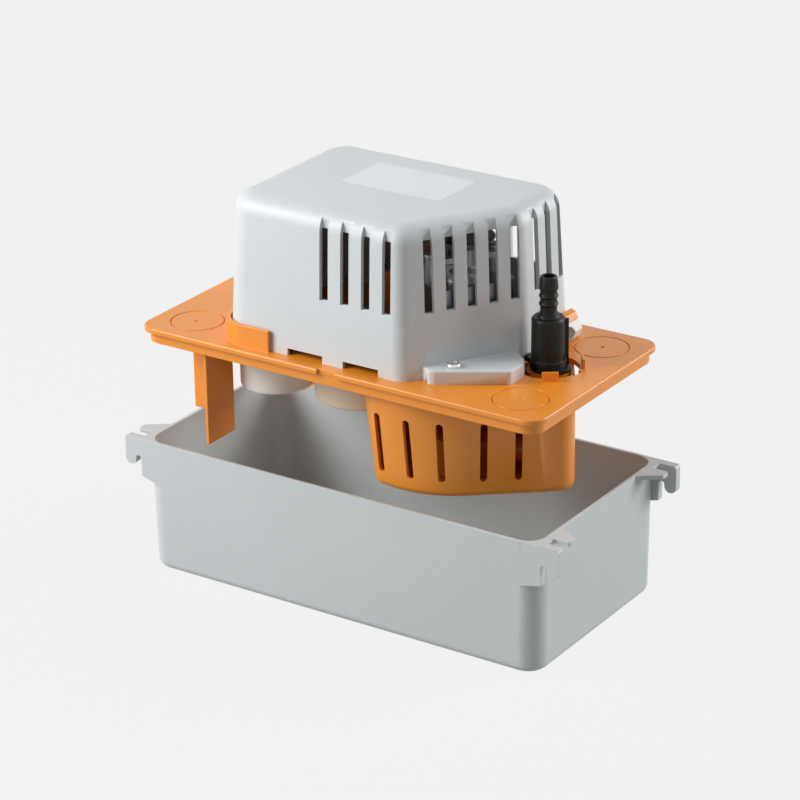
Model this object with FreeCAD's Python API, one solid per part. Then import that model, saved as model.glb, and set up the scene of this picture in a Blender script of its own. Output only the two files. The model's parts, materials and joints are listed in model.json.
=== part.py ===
"""Tank condensate pump, built piece by piece.

A rectangular collection tank with four hanging hooks, and a pump head that
drops into its mouth. The head is a moulded base plate that carries a ventilated
cover, a shaded-pole motor, two float switches, a strainer basket with the
impeller inside, and a quarter-turn check valve with a hose barb.

The origin is the centre of the tank's underside. +X runs along the tank towards
the outlet end, +Y away from the cover's screw flange, and +Z is up. The head is
placed as it stands when it is held clear of the tank, lift above its seat.
Head pieces are drawn with z = 0 on the base plate's top face.
"""
import FreeCAD
import Part
import math
import os

V = FreeCAD.Vector
UP = V(0, 0, 1)

# Tank, millimetres
tank_length = 254.0
tank_width = 128.0
tank_height = 77.0
tank_wall = 2.0
tank_corner = 12.0
tank_taper = 1.0
tank_floor_round = 5.0

# Hanging hooks at the tank's four corners
hook_reach = 12.7
hook_thick = 4.5
hook_root = 18.0
hook_inset = 0.4
hook_corner = 2.0
finger_width = 7.2
finger_drop = 16.5
notch_width = 3.5
notch_top = 10.4
web_drop = 22.5
web_slope = 5.0
shelf_thick = 2.5
shelf_inner_inset = 26.5
shelf_outer_inset = 18.0
shelf_step = 0.6
shelf_corner = 1.2
gap_width = 6.9
gap_depth = 10.2

# Base plate
lift = 65.0
lip_thick = 3.0
plate_corner = 10.0
plate_round = 0.9
skirt_depth = 6.0
skirt_wall = 2.0
skirt_clearance = 0.4
finger_notch_x = -2.6
finger_notch_width = 11.0
finger_notch_depth = 1.8

# Inlet knockouts, set in from the plate's edges
inlet_end_inset = 24.0
inlet_side_inset = 23.0
inlet_radius = 15.0
groove_width = 0.7
groove_depth = 1.0
dimple_radius = 1.6
dimple_depth = 1.2
dimple_tip = 0.3

# Cover
cover_left = -76.5
cover_right = 79.5
cover_side_inset = 8.0
cover_height = 83.0
cover_wall = 2.5
cover_corner = 16.0
cover_top_round = 11.0
cover_draft = 2.4
slant_reach = 24.25
slant_corner = 10.0
slot_width = 5.3
slot_low = 35.0
slot_skin = 0.15
front_slot_inset = 9.6
front_slot_pitch = 13.05
front_slot_count = 4
side_slot_start = 17.2
side_slot_pitch = 12.2
side_slot_count = 5
end_slot_inset = 14.9
end_slot_pitch = 12.3
end_slot_count = 3
rear_slot_inset = 24.5
rear_slot_pitch = 12.8
rear_slot_count = 6
vent_height = 4.0
vent_width = 22.3
vent_middle = -3.5
vent_pitch = 35.3

# Screw flange at the foot of the cover's slanted side: distances along that side, and out from it
flange_thick = 7.6
flange_edge_round = 1.0
flange_corner = 3.0
flange_bury = 1.5
flange_start = 12.2
flange_start_reach = 7.5
flange_knee = 14.6
flange_knee_reach = 9.6
flange_far = 50.4
flange_far_reach = 26.1
flange_tip = 60.5
flange_tip_reach = 19.5
flange_end = 66.2
flange_end_reach = 11.6

# Blank label on the cover's top
label_length = 62.0
label_width = 36.0
label_corner = 1.5
label_thick = 0.15
label_x = 1.0
label_inset = 44.5

# Curb that locates the cover on the base plate
curb_height = 12.0
curb_wall = 2.2
curb_clearance = 0.4
curb_front_length = 33.5
curb_side_height = 6.0
curb_valve_gap = 11.0

# Screws
screw_radius = 2.0
screw_head_radius = 3.9
screw_head_height = 2.4
screw_slack = 0.15
cover_screw_along = 26.4
cover_screw_out = 8.1
cover_screw_length = 14.0
boss_wall = 2.2
boss_depth = 12.0
boss_floor = 1.5
pilot_slack = 0.05

# Motor
motor_x = 45.0
motor_y = -4.0
motor_turn = 56.5
shaft_radius = 2.5
running_gap = 0.05
rotor_radius = 13.0
air_gap = 0.35
stack_half_width = 23.0
stack_front = -18.0
stack_rear = 41.0
stack_low = 24.0
stack_height = 20.0
stack_corner = 6.0
arm_width = 8.0
bar_width = 8.0
window_start = 20.0
bolt_offset = 18.5
far_bolt_x = 19.0
far_bolt_y = 30.0
post_radius = 4.5
bearing_radius = 5.0
bearing_length = 9.0
bracket_gap = 10.0
bracket_bar = 3.0
bracket_half_width = 7.0
coil_half_length = 14.0
coil_depth = 7.0
bobbin_wall = 1.2
shading_ring_x = 16.2
shading_ring_y = 10.5
shading_ring_width = 2.0
shading_ring_length = 7.0
shading_ring_height = 1.6
hub_radius = 6.0
fan_radius = 17.0
fan_blades = 7
fan_low = 65.0
fan_height = 8.0

# Pump
basket_floor = -65.0
basket_wall = 2.0
basket_taper = 6.0
basket_floor_round = 4.5
basket_left_gap = 30.4
basket_rear_gap = 27.5
basket_side_turn = 33.3
basket_socket_gap = 0.3
basket_front_inset = 10.4
basket_shoulder = 4.3
basket_front_x = 6.6
basket_bow = 58.0
basket_left_corner = 10.0
basket_right_corner = 9.0
basket_right_front = 6.6
basket_crease = 12.6
basket_slot_width = 3.9
basket_slot_low = -55.5
basket_slot_high = -21.0
basket_slot_reach = 9.0
shaft_tube_radius = 11.0
shaft_tube_bore = 6.5
volute_top = -42.0
volute_depth = 18.0
volute_radius = 24.0
volute_wall = 2.2
volute_cover_thick = 2.0
eye_radius = 7.0
impeller_radius = 18.0
impeller_height = 9.0
impeller_blades = 6
outlet_bore = 4.8
outlet_wall = 1.8

# Check valve
valve_x = 93.0
valve_y = 3.0
valve_hole = 16.5
valve_pocket = 18.0
pocket_half_width = 3.5
valve_spigot = 8.9
socket_wall = 2.6
socket_depth = 11.0
valve_radius = 9.2
valve_shoulder = 28.5
valve_top = 50.8
barb_radius = 5.1
barb_neck = 4.5
nozzle_bore = 3.0
ball_radius = 5.0
ball_chamber = 6.4
ball_seat_top = 4.0
ball_seat_bore = 3.8
ball_gap = 0.3
lug_reach = 14.6
lug_half_width = 5.0
lug_angle = -19.0
lug_low = 0.6
lug_thick = 2.5
lug_clearance = 0.5
rib_angle = 30.0
rib_proud = 1.4
rib_thick = 1.2
front_tab_angle = -56.0
front_tab_radius = 21.0
rear_tab_angle = 35.0
rear_tab_radius = 19.0
tab_half_width = 4.3
tab_thick = 1.6
tab_height = 5.2

# Floats and their switches
run_float_x = -20.0
run_float_y = -4.0
run_float_radius = 26.5
run_float_low = -37.5
run_float_height = 24.0
alarm_float_x = -66.5
alarm_float_y = -19.5
alarm_float_radius = 20.0
alarm_float_low = -35.5
alarm_float_height = 22.0
stem_radius = 1.5
stem_collar_radius = 3.5
stem_top = 8.0
lever_reach = 33.5
lever_tilt = 13.0
lever_thick = 0.6
lever_width = 5.0
lever_overrun = 2.5
pivot_radius = 0.6
plunger_offset = 3.2
plunger_radius = 1.0
plunger_play = 0.05
barrel_radius = 1.05
switch_lift = 1.2
switch_wall_thick = 2.4
switch_screw_radius = 1.0
switch_screw_head = 2.0
switch_screw_height = 1.3
switch_screw_first = 2.0
switch_screw_pitch = 12.0
switch_screw_rise = 5.0
switch_tab_first = 2.0
switch_tab_pitch = 6.5
switch_tab_length = 3.0
switch_tab_height = 5.0
switch_length = 20.0
switch_width = 6.4
switch_height = 10.0
seat_gap = 0.3

# Leg that guards the floats and stands the head on a bench
leg_float_gap = 1.5
leg_inset = 7.0
leg_width = 24.0
leg_side_reach = 24.0
leg_wall = 1.8
leg_low = -64.0
leg_side_low = -55.0

# Cord inlet at the cover's outlet end
cord_inset = 19.0
cord_half_width = 11.0
cord_radius = 3.6
cord_slack = 0.4
cord_block_height = 10.5
cord_block_reach = 7.7
cord_hood_reach = 5.0
cord_hood_height = 15.2

# Terminal block
terminal_x = 60.0
terminal_inset = 16.0
terminal_length = 24.0
terminal_width = 11.0
terminal_height = 13.0
terminal_pitch = 7.5
terminal_seat_height = 4.0

# Places that follow from the sizes above
plate_top = tank_height + lip_thick + lift
inlet_x = tank_length / 2 - inlet_end_inset
inlet_y = tank_width / 2 - inlet_side_inset
cover_half_width = tank_width / 2 - cover_side_inset
slant_along = V(math.cos(math.radians(motor_turn)), math.sin(math.radians(motor_turn)), 0)
slant_out = V(slant_along.y, -slant_along.x, 0)
slant_level = slant_out.x * motor_x + slant_out.y * motor_y + slant_reach
chamfer_x = (slant_level + slant_out.y * cover_half_width) / slant_out.x
chamfer_y = (slant_level - slant_out.x * cover_right) / slant_out.y
cord_y = cover_half_width - cord_inset
cord_block_end = cover_right + cord_block_reach
terminal_y = cover_half_width - terminal_inset
leg_x = alarm_float_x - alarm_float_radius - leg_float_gap
leg_front = leg_inset - tank_width / 2
leg_back = leg_front + leg_width


def beside_slant(along, out):
    """The x and y of a place measured along the cover's slanted side and out from it."""
    place = V(chamfer_x, -cover_half_width, 0) + slant_along * along + slant_out * out
    return place.x, place.y


cover_screw_x, cover_screw_y = beside_slant(cover_screw_along, cover_screw_out)


def box(x0, x1, y0, y1, z0, z1):
    """A block between two corners."""
    return Part.makeBox(x1 - x0, y1 - y0, z1 - z0, V(x0, y0, z0))


def rod(x, y, z0, z1, radius):
    """An upright cylinder."""
    return Part.makeCylinder(radius, z1 - z0, V(x, y, z0), UP)


def tube(x, y, z0, z1, outer, inner):
    """An upright tube."""
    return rod(x, y, z0, z1, outer).cut(rod(x, y, z0 - 1, z1 + 1, inner))


def taper(x, y, z0, z1, r0, r1):
    """An upright truncated cone."""
    return Part.makeCone(r0, r1, z1 - z0, V(x, y, z0), UP)


def turned(x, y, profile):
    """A solid of revolution about an upright axis, from (radius, z) points."""
    points = [V(x + r, y, z) for r, z in profile]
    face = Part.Face(Part.makePolygon(points + points[:1]))
    return face.revolve(V(x, y, 0), UP, 360)


def outline(corners, z):
    """A closed wire through (x, y, radius) corners, each rounded by its radius."""
    edges = []
    starts = []
    ends = []
    mids = []
    count = len(corners)
    for i, (x, y, radius) in enumerate(corners):
        here = V(x, y, z)
        before = V(corners[i - 1][0], corners[i - 1][1], z) - here
        after = V(corners[(i + 1) % count][0], corners[(i + 1) % count][1], z) - here
        before.normalize()
        after.normalize()
        half = before.getAngle(after) / 2
        reach = radius / math.tan(half)
        middle = before + after
        middle.normalize()
        centre = here + middle * (radius / math.sin(half))
        starts.append(here + before * reach)
        ends.append(here + after * reach)
        mids.append(centre - middle * radius)
    for i in range(count):
        if corners[i][2] > 0:
            edges.append(Part.Arc(starts[i], mids[i], ends[i]).toShape())
        edges.append(Part.makeLine(ends[i], starts[(i + 1) % count]))
    return Part.Wire(edges)


def prism(corners, z0, z1):
    """An upright prism on a rounded outline."""
    return Part.Face(outline(corners, z0)).extrude(V(0, 0, z1 - z0))


def loft(lower, z0, upper, z1):
    """A solid between two rounded outlines with the same number of corners."""
    return Part.makeLoft([outline(lower, z0), outline(upper, z1)], True, True)


def rectangle(length, width, radius, x=0.0, y=0.0):
    """The corners of a rounded rectangle about a centre."""
    a = length / 2
    b = width / 2
    return [
        (x - a, y - b, radius), (x + a, y - b, radius), (x + a, y + b, radius), (x - a, y + b, radius),
    ]


def inset(corners, distances):
    """Corners of a counter-clockwise outline, each edge moved inwards by a distance."""
    count = len(corners)
    if not isinstance(distances, (list, tuple)):
        distances = [distances] * count
    lines = []
    for i in range(count):
        x0, y0, _ = corners[i]
        x1, y1, _ = corners[(i + 1) % count]
        length = math.hypot(x1 - x0, y1 - y0)
        nx = -(y1 - y0) / length
        ny = (x1 - x0) / length
        lines.append((nx, ny, nx * x0 + ny * y0 + distances[i]))
    moved = []
    for i in range(count):
        a = lines[i - 1]
        b = lines[i]
        det = a[0] * b[1] - a[1] * b[0]
        x = (a[2] * b[1] - a[1] * b[2]) / det
        y = (a[0] * b[2] - a[2] * b[0]) / det
        shrink = min(distances[i - 1], distances[i])
        moved.append((x, y, max(corners[i][2] - shrink, 0.4)))
    return moved


def edges_at(shape, z, tolerance=0.01):
    """The edges that lie level at one height."""
    found = []
    for edge in shape.Edges:
        bounds = edge.BoundBox
        if abs(bounds.ZMin - z) < tolerance and abs(bounds.ZMax - z) < tolerance:
            found.append(edge)
    return found


def upright_edges(shape):
    """The straight edges that run along Z."""
    found = []
    for edge in shape.Edges:
        bounds = edge.BoundBox
        if bounds.XLength < 0.01 and bounds.YLength < 0.01:
            found.append(edge)
    return found


def mirrored(shape, about_x=False, about_y=False):
    """A copy on the other side of the middle planes."""
    if about_x:
        shape = shape.mirror(V(0, 0, 0), V(1, 0, 0))
    if about_y:
        shape = shape.mirror(V(0, 0, 0), V(0, 1, 0))
    return shape


def fuse(first, *others):
    """One solid from several that touch or overlap."""
    return first.multiFuse(list(others)).removeSplitter()


def at_motor(shape):
    """Turn a shape drawn about the motor's own axis and set it on that axis."""
    placed = shape.copy()
    placed.rotate(V(0, 0, 0), UP, motor_turn)
    placed.translate(V(motor_x, motor_y, 0))
    return placed


def motor_point(x, y):
    """The place in the part of a point given about the motor's own axis."""
    turn = math.radians(motor_turn)
    return (motor_x + x * math.cos(turn) - y * math.sin(turn),
            motor_y + x * math.sin(turn) + y * math.cos(turn))


def pan_screw(x, y, seat, length, radius=screw_radius, head=screw_head_radius,
              height=screw_head_height):
    """A pan-head screw with a cross recess, its head resting on seat."""
    screw = rod(x, y, seat, seat + height, head)
    screw = screw.makeFillet(height * 0.55, edges_at(screw, seat + height))
    screw = screw.fuse(rod(x, y, seat - length, seat, radius))
    arm = head * 0.55
    blade = head * 0.13
    deep = seat + height * 0.45
    recess = box(x - arm, x + arm, y - blade, y + blade, deep, seat + height + 1)
    recess = recess.fuse(box(x - blade, x + blade, y - arm, y + arm, deep, seat + height + 1))
    return screw.cut(recess).removeSplitter()


# Outlines shared by pieces that fit each other

cover_foot = [
    (cover_left, -cover_half_width, cover_corner),
    (chamfer_x, -cover_half_width, slant_corner),
    (cover_right, chamfer_y, slant_corner),
    (cover_right, cover_half_width, cover_corner),
    (cover_left, cover_half_width, cover_corner),
]
draft_rate = math.tan(math.radians(cover_draft))

basket_left = motor_x - basket_left_gap
basket_rear = motor_y + basket_rear_gap
basket_front = basket_front_inset - tank_width / 2
basket_side = math.radians(basket_side_turn)


def basket_side_at(y):
    """Where the basket's right side, which just clears the valve's socket, stands at one y."""
    reach = valve_spigot + socket_wall + basket_socket_gap + basket_wall
    return valve_x + (reach + (valve_y - y) * math.sin(basket_side)) / math.cos(basket_side)


basket_right = basket_side_at(valve_y - basket_right_front)
basket_foot = [
    (basket_left, basket_front + basket_shoulder, basket_left_corner),
    (motor_x + basket_front_x, basket_front, basket_bow),
    (basket_right, valve_y - basket_right_front, basket_right_corner),
    (basket_side_at(basket_rear), basket_rear, basket_right_corner),
    (basket_left, basket_rear, basket_left_corner),
]


def cover_section(depth, z):
    """The cover's outline at a height, moved inwards by a depth. Its corners keep their radius upwards."""
    drafted = inset(cover_foot, z * draft_rate)
    corners = [(x, y, foot[2]) for (x, y, _), foot in zip(drafted, cover_foot)]
    return inset(corners, depth)


def basket_section(depth, z):
    """The basket's outline at a height. Only its left and front walls lean outwards."""
    lean = (z - basket_floor) * math.tan(math.radians(basket_taper))
    return inset(basket_foot, [depth - lean, depth - lean, depth, depth, depth - lean])


# Tank

def tank_cavity():
    """The space inside the tank, from its floor to above its rim."""
    depth = tank_taper + tank_wall
    low = rectangle(tank_length - 2 * depth, tank_width - 2 * depth, tank_corner - tank_wall)
    high = rectangle(tank_length - 2 * tank_wall, tank_width - 2 * tank_wall, tank_corner - tank_wall)
    cavity = loft(low, tank_wall, high, tank_height)
    cavity = cavity.makeFillet(tank_floor_round - tank_wall, edges_at(cavity, tank_wall))
    return cavity.fuse(prism(high, tank_height, tank_height + 5))


def hook():
    """The lug at the tank's +X +Y corner: a hook plate in line with the long wall, and a shelf."""
    end = tank_length / 2 + hook_reach
    side = tank_width / 2
    finger_in = end - finger_width
    web_end = finger_in - notch_width
    root = tank_length / 2 - hook_root
    finger_r = finger_width / 2
    notch_r = notch_width / 2
    bevel = hook_corner * (1 - math.sqrt(0.5))
    y0 = side - hook_inset - hook_thick

    def at(x, drop):
        return V(x, y0, tank_height - drop)

    edges = [
        Part.makeLine(at(root, 0), at(end - hook_corner, 0)),
        Part.Arc(at(end - hook_corner, 0), at(end - bevel, bevel), at(end, hook_corner)).toShape(),
        Part.makeLine(at(end, hook_corner), at(end, finger_drop - finger_r)),
        Part.Arc(at(end, finger_drop - finger_r), at(end - finger_r, finger_drop),
                 at(finger_in, finger_drop - finger_r)).toShape(),
        Part.makeLine(at(finger_in, finger_drop - finger_r), at(finger_in, notch_top + notch_r)),
        Part.Arc(at(finger_in, notch_top + notch_r), at(finger_in - notch_r, notch_top),
                 at(web_end, notch_top + notch_r)).toShape(),
        Part.makeLine(at(web_end, notch_top + notch_r), at(web_end, web_drop)),
        Part.makeLine(at(web_end, web_drop), at(root, web_drop + web_slope)),
        Part.makeLine(at(root, web_drop + web_slope), at(root, 0)),
    ]
    plate = Part.Face(Part.Wire(edges)).extrude(V(0, hook_thick, 0))
    gap_end = end - gap_depth
    gap_out = y0 - shelf_step
    gap_in = gap_out - gap_width
    wall = tank_length / 2
    shelf_end = end - shelf_step
    inner = side - shelf_inner_inset
    outer = side - shelf_outer_inset
    shelf_corners = [
        (root, inner, 0), (wall, inner, 0), (shelf_end, outer, shelf_corner),
        (shelf_end, gap_in, shelf_corner), (gap_end, gap_in, shelf_corner),
        (gap_end, gap_out, shelf_corner), (shelf_end, gap_out, 0), (shelf_end, side - hook_inset, 0),
        (root, side - hook_inset, 0),
    ]
    shelf = prism(shelf_corners, tank_height - shelf_thick, tank_height)
    return plate.fuse(shelf)


def tank():
    low = rectangle(tank_length - 2 * tank_taper, tank_width - 2 * tank_taper, tank_corner)
    high = rectangle(tank_length, tank_width, tank_corner)
    body = loft(low, 0, high, tank_height)
    body = body.makeFillet(tank_floor_round, edges_at(body, 0))
    lug = hook()
    lugs = [lug, mirrored(lug, about_x=True), mirrored(lug, about_y=True), mirrored(lug, True, True)]
    body = fuse(body, *lugs).cut(tank_cavity())
    return body.removeSplitter()


# Base plate

def skirt_outline(depth):
    """The plate's skirt, which drops inside the tank's rim, moved inwards by a depth."""
    gap = tank_wall + skirt_clearance
    return inset(rectangle(tank_length - 2 * gap, tank_width - 2 * gap, tank_corner - gap), depth)


def leg():
    """An angle of two thin walls under the plate, between the inlet and the floats."""
    face = box(leg_x, leg_x + leg_wall, leg_front, leg_back, leg_low, -lip_thick)
    side = box(leg_x - leg_side_reach, leg_x + leg_wall, leg_back - leg_wall, leg_back, leg_side_low,
               -lip_thick)
    return face.fuse(side)


def curb():
    """Upstand round the cover's left end, and a lower one at the outlet end."""
    ring = prism(inset(cover_foot, -curb_clearance - curb_wall), 0, curb_height)
    ring = ring.cut(prism(inset(cover_foot, -curb_clearance), -1, curb_height + 1))
    inlet_gap = cord_half_width + cord_slack
    ring = ring.cut(box(0, cord_block_end + 1, cord_y - inlet_gap, cord_y + inlet_gap, -1, curb_height + 1))
    far = tank_width / 2
    end = tank_length / 2
    left = ring.common(box(-end, cover_left + curb_front_length, -far, far, 0, curb_height))
    start = valve_y + curb_valve_gap
    right = ring.common(box(cover_right - cover_corner, end, start, far, 0, curb_side_height))
    return left.fuse(right)


def base_plate():
    plate = prism(rectangle(tank_length, tank_width, plate_corner), -lip_thick, 0)
    plate = plate.makeFillet(plate_round, edges_at(plate, 0))
    skirt = prism(skirt_outline(0), -lip_thick - skirt_depth, -lip_thick)
    skirt = skirt.cut(prism(skirt_outline(skirt_wall), -lip_thick - skirt_depth - 1, -lip_thick + 1))
    notch_left = finger_notch_x - finger_notch_width / 2
    plate = plate.cut(box(notch_left, notch_left + finger_notch_width, -tank_width / 2 - 1,
                          -tank_width / 2 + finger_notch_depth, -lip_thick - 1, 1))
    plate = fuse(plate, skirt, leg(), mirrored(leg(), about_y=True), curb())

    for sx in (-1, 1):
        for sy in (-1, 1):
            x = sx * inlet_x
            y = sy * inlet_y
            plate = plate.cut(tube(x, y, -groove_depth, 1, inlet_radius, inlet_radius - groove_width))
            plate = plate.cut(taper(x, y, -dimple_depth, 0, dimple_tip, dimple_radius))

    shaft_tube = rod(motor_x, motor_y, volute_top, -lip_thick, shaft_tube_radius)
    posts = []
    for side in (-1, 1):
        x, y = motor_point(side * bolt_offset, 0)
        posts.append(rod(x, y, 0, stack_low - bracket_gap - bracket_bar, post_radius))
        x, y = motor_point(side * far_bolt_x, far_bolt_y)
        posts.append(rod(x, y, 0, stack_low, post_radius))
    walls = [switch_wall(run_float_x, run_float_y), switch_wall(alarm_float_x, alarm_float_y)]
    boss = rod(cover_screw_x, cover_screw_y, -boss_depth, -lip_thick, screw_radius + boss_wall)
    tabs = [finger_tab(front_tab_angle, front_tab_radius), finger_tab(rear_tab_angle, rear_tab_radius)]
    plate = plate.cut(rod(valve_x, valve_y, -lip_thick - 1, 1, valve_hole))
    plate = plate.cut(box(valve_x, valve_x + valve_pocket, valve_y - pocket_half_width,
                          valve_y + pocket_half_width, -lip_thick - 1, 1))
    plate = fuse(plate, shaft_tube, boss, terminal_seat(), *posts, *walls, *tabs)
    plate = plate.cut(rod(motor_x, motor_y, volute_top - 1, 1, shaft_tube_bore))
    hole = screw_radius + screw_slack
    plate = plate.cut(rod(cover_screw_x, cover_screw_y, boss_floor - boss_depth, 1, hole))
    for side in (-1, 1):
        x, y = motor_point(side * bolt_offset, 0)
        plate = plate.cut(rod(x, y, 1, stack_low, screw_radius + pilot_slack))
        x, y = motor_point(side * far_bolt_x, far_bolt_y)
        plate = plate.cut(rod(x, y, stack_low - boss_depth, stack_low + 1, screw_radius + pilot_slack))
    for x, y in ((run_float_x, run_float_y), (alarm_float_x, alarm_float_y)):
        plate = plate.cut(rod(x, y, -lip_thick - 1, 1, stem_radius + running_gap))
    return plate.removeSplitter()


def finger_tab(angle, radius):
    """A small upright tab beside the valve's opening."""
    tab = box(radius - tab_thick, radius, -tab_half_width, tab_half_width, -1, tab_height)
    tab.rotate(V(0, 0, 0), UP, angle)
    tab.translate(V(valve_x, valve_y, 0))
    return tab


# Strainer basket

def basket_solid(depth, floor, top, floor_round):
    """The basket's form moved inwards by a depth, between two heights, with a rounded floor edge."""
    lean = loft(basket_section(depth, floor), floor, basket_section(depth, top), top)
    lean = lean.makeFillet(floor_round, edges_at(lean, floor))
    crease = basket_right - basket_crease - depth
    far = tank_width / 2
    lean = lean.common(box(-motor_x, crease, -far, far, floor - 1, top + 1))
    upright = prism(inset(basket_foot, depth), floor, top)
    upright = upright.makeFillet(floor_round, edges_at(upright, floor))
    upright = upright.common(box(crease - basket_crease, basket_right + 1, -far, far, floor - 1, top + 1))
    return lean.fuse(upright)


def basket_slot_places():
    """Where the five slots cross the basket's front walls, and the way each faces."""
    left_x, left_y, _ = basket_foot[0]
    front_x, front_y, _ = basket_foot[1]
    right_x, right_y, _ = basket_foot[2]
    run = V(right_x - front_x, right_y - front_y, 0)
    facing = math.degrees(math.atan2(-run.x, run.y))
    low_lean = (basket_slot_low - basket_floor) * math.tan(math.radians(basket_taper))
    places = [
        (left_x + basket_left_corner - 0.5, left_y, facing - 48),
        (front_x - basket_left_corner, front_y - low_lean, facing - 44),
        (front_x + 1.8 * basket_shoulder, front_y + 0.7 * basket_shoulder, facing - 25),
    ]
    for share in (0.40, 0.63):
        places.append((front_x + run.x * share, front_y + run.y * share - low_lean, facing))
    return places


def strainer_basket():
    top = -lip_thick
    body = basket_solid(0, basket_floor, top, basket_floor_round)
    inner_round = basket_floor_round - basket_wall
    body = body.cut(basket_solid(basket_wall, basket_floor + basket_wall, top + 1, inner_round))
    half = basket_slot_width / 2
    reach = basket_slot_reach
    for x, y, angle in basket_slot_places():
        cutter = box(-reach, reach, -half, half, basket_slot_low + half, basket_slot_high - half)
        for z in (basket_slot_low + half, basket_slot_high - half):
            cutter = cutter.fuse(Part.makeCylinder(half, 2 * reach, V(-reach, 0, z), V(1, 0, 0)))
        cutter.rotate(V(0, 0, 0), UP, angle)
        cutter.translate(V(x, y, 0))
        body = body.cut(cutter)
    clear = tube(motor_x, motor_y, -lip_thick - 1, 1, shaft_tube_radius + 1, shaft_tube_radius + 0.5)
    return body.cut(clear).removeSplitter()


# Cover

def cover_side(x0, y0, x1, y1, start, pitch, count):
    """Slot boxes spaced along one straight side of the cover's foot."""
    angle = math.degrees(math.atan2(y1 - y0, x1 - x0))
    boxes = []
    for i in range(count):
        along = start + i * pitch
        slot = box(along - slot_width / 2, along + slot_width / 2, -cover_wall, cover_corner, slot_low,
                   cover_height + 5)
        slot.rotate(V(0, 0, 0), UP, angle)
        slot.translate(V(x0, y0, 0))
        boxes.append(slot)
    return boxes


def cover():
    top = cover_height
    body = loft(cover_section(0, 0), 0, cover_section(0, top), top)
    body = body.makeFillet(cover_top_round, edges_at(body, top))
    ceiling = top - cover_wall
    hollow = loft(cover_section(cover_wall, -2), -2, cover_section(cover_wall, ceiling), ceiling)
    hollow = hollow.makeFillet(cover_top_round - cover_wall, edges_at(hollow, ceiling))
    shell = body.cut(hollow)

    wall_zone = loft(cover_section(-1, 0), 0, cover_section(-1, top + 6), top + 6)
    skin = cover_wall + slot_skin
    wall_zone = wall_zone.cut(loft(cover_section(skin, -1), -1, cover_section(skin, top + 7), top + 7))
    front = -cover_half_width
    rear = cover_half_width
    front_first = chamfer_x - front_slot_inset - front_slot_pitch * (front_slot_count - 1)
    end_first = rear - end_slot_inset - end_slot_pitch * (end_slot_count - 1)
    slots = cover_side(front_first, front, chamfer_x, front, 0, front_slot_pitch, front_slot_count)
    slots += cover_side(chamfer_x, front, cover_right, chamfer_y, side_slot_start, side_slot_pitch,
                        side_slot_count)
    slots += cover_side(cover_right, end_first, cover_right, rear, 0, end_slot_pitch, end_slot_count)
    slots += cover_side(cover_right, rear, cover_left, rear, rear_slot_inset, rear_slot_pitch,
                        rear_slot_count)
    cutters = [wall_zone.common(slot) for slot in slots]
    shell = shell.cut(Part.makeCompound(cutters))

    sweep = lug_reach + lug_clearance
    clear = rod(valve_x, valve_y, -1, flange_thick + 1, sweep)
    shell = fuse(shell, cover_flange().cut(hollow).cut(clear))
    for side in (-1, 1):
        x = vent_middle + side * vent_pitch / 2
        shell = shell.cut(box(x - vent_width / 2, x + vent_width / 2, front - 1, front + 2 * cover_wall, -1,
                              vent_height))
    gap = cord_half_width + cord_slack
    shell = shell.cut(box(cover_right - 2 * cover_wall, cover_right + 1, cord_y - gap, cord_y + gap, -1,
                          cord_block_height + cord_slack))
    shell = shell.cut(rod(valve_x, valve_y, -1, lug_low + lug_thick + lug_clearance, sweep))
    hole = rod(cover_screw_x, cover_screw_y, -1, flange_thick + 1, screw_radius + screw_slack)
    return shell.cut(hole).removeSplitter()


def cover_flange():
    """The screw flange at the foot of the cover's slanted side."""
    shape = (
        (flange_start, -flange_bury, 0), (flange_start, flange_start_reach, flange_corner),
        (flange_knee, flange_knee_reach, flange_corner), (flange_far, flange_far_reach, flange_corner),
        (flange_tip, flange_tip_reach, flange_corner), (flange_end, flange_end_reach, 0),
        (flange_end, -flange_bury, 0),
    )
    corners = [beside_slant(along, out) + (radius,) for along, out, radius in shape]
    flange = prism(corners, 0, flange_thick)
    return flange.makeFillet(flange_edge_round, edges_at(flange, flange_thick)[:-2])


# Float switches

def switch_frame(float_y):
    """The lever's pivot: its y and its height above the plate."""
    tilt = math.radians(lever_tilt)
    rise = lever_reach * math.tan(tilt) + lever_thick / 2 / math.cos(tilt)
    return float_y + lever_reach, stem_top + seat_gap + rise


def switch_wall(float_x, float_y):
    """The upright wall on the plate that a switch is screwed to."""
    pivot_y, pivot_z = switch_frame(float_y)
    x0 = float_x + switch_width / 2
    return box(x0, x0 + switch_wall_thick, pivot_y - switch_length + 1, pivot_y + 3, 0,
               pivot_z + switch_lift + switch_height)


def switch_screw_places(pivot_y):
    """The y of the two screws that hold a switch to its wall."""
    return (pivot_y - switch_screw_first, pivot_y - switch_screw_first - switch_screw_pitch)


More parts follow.
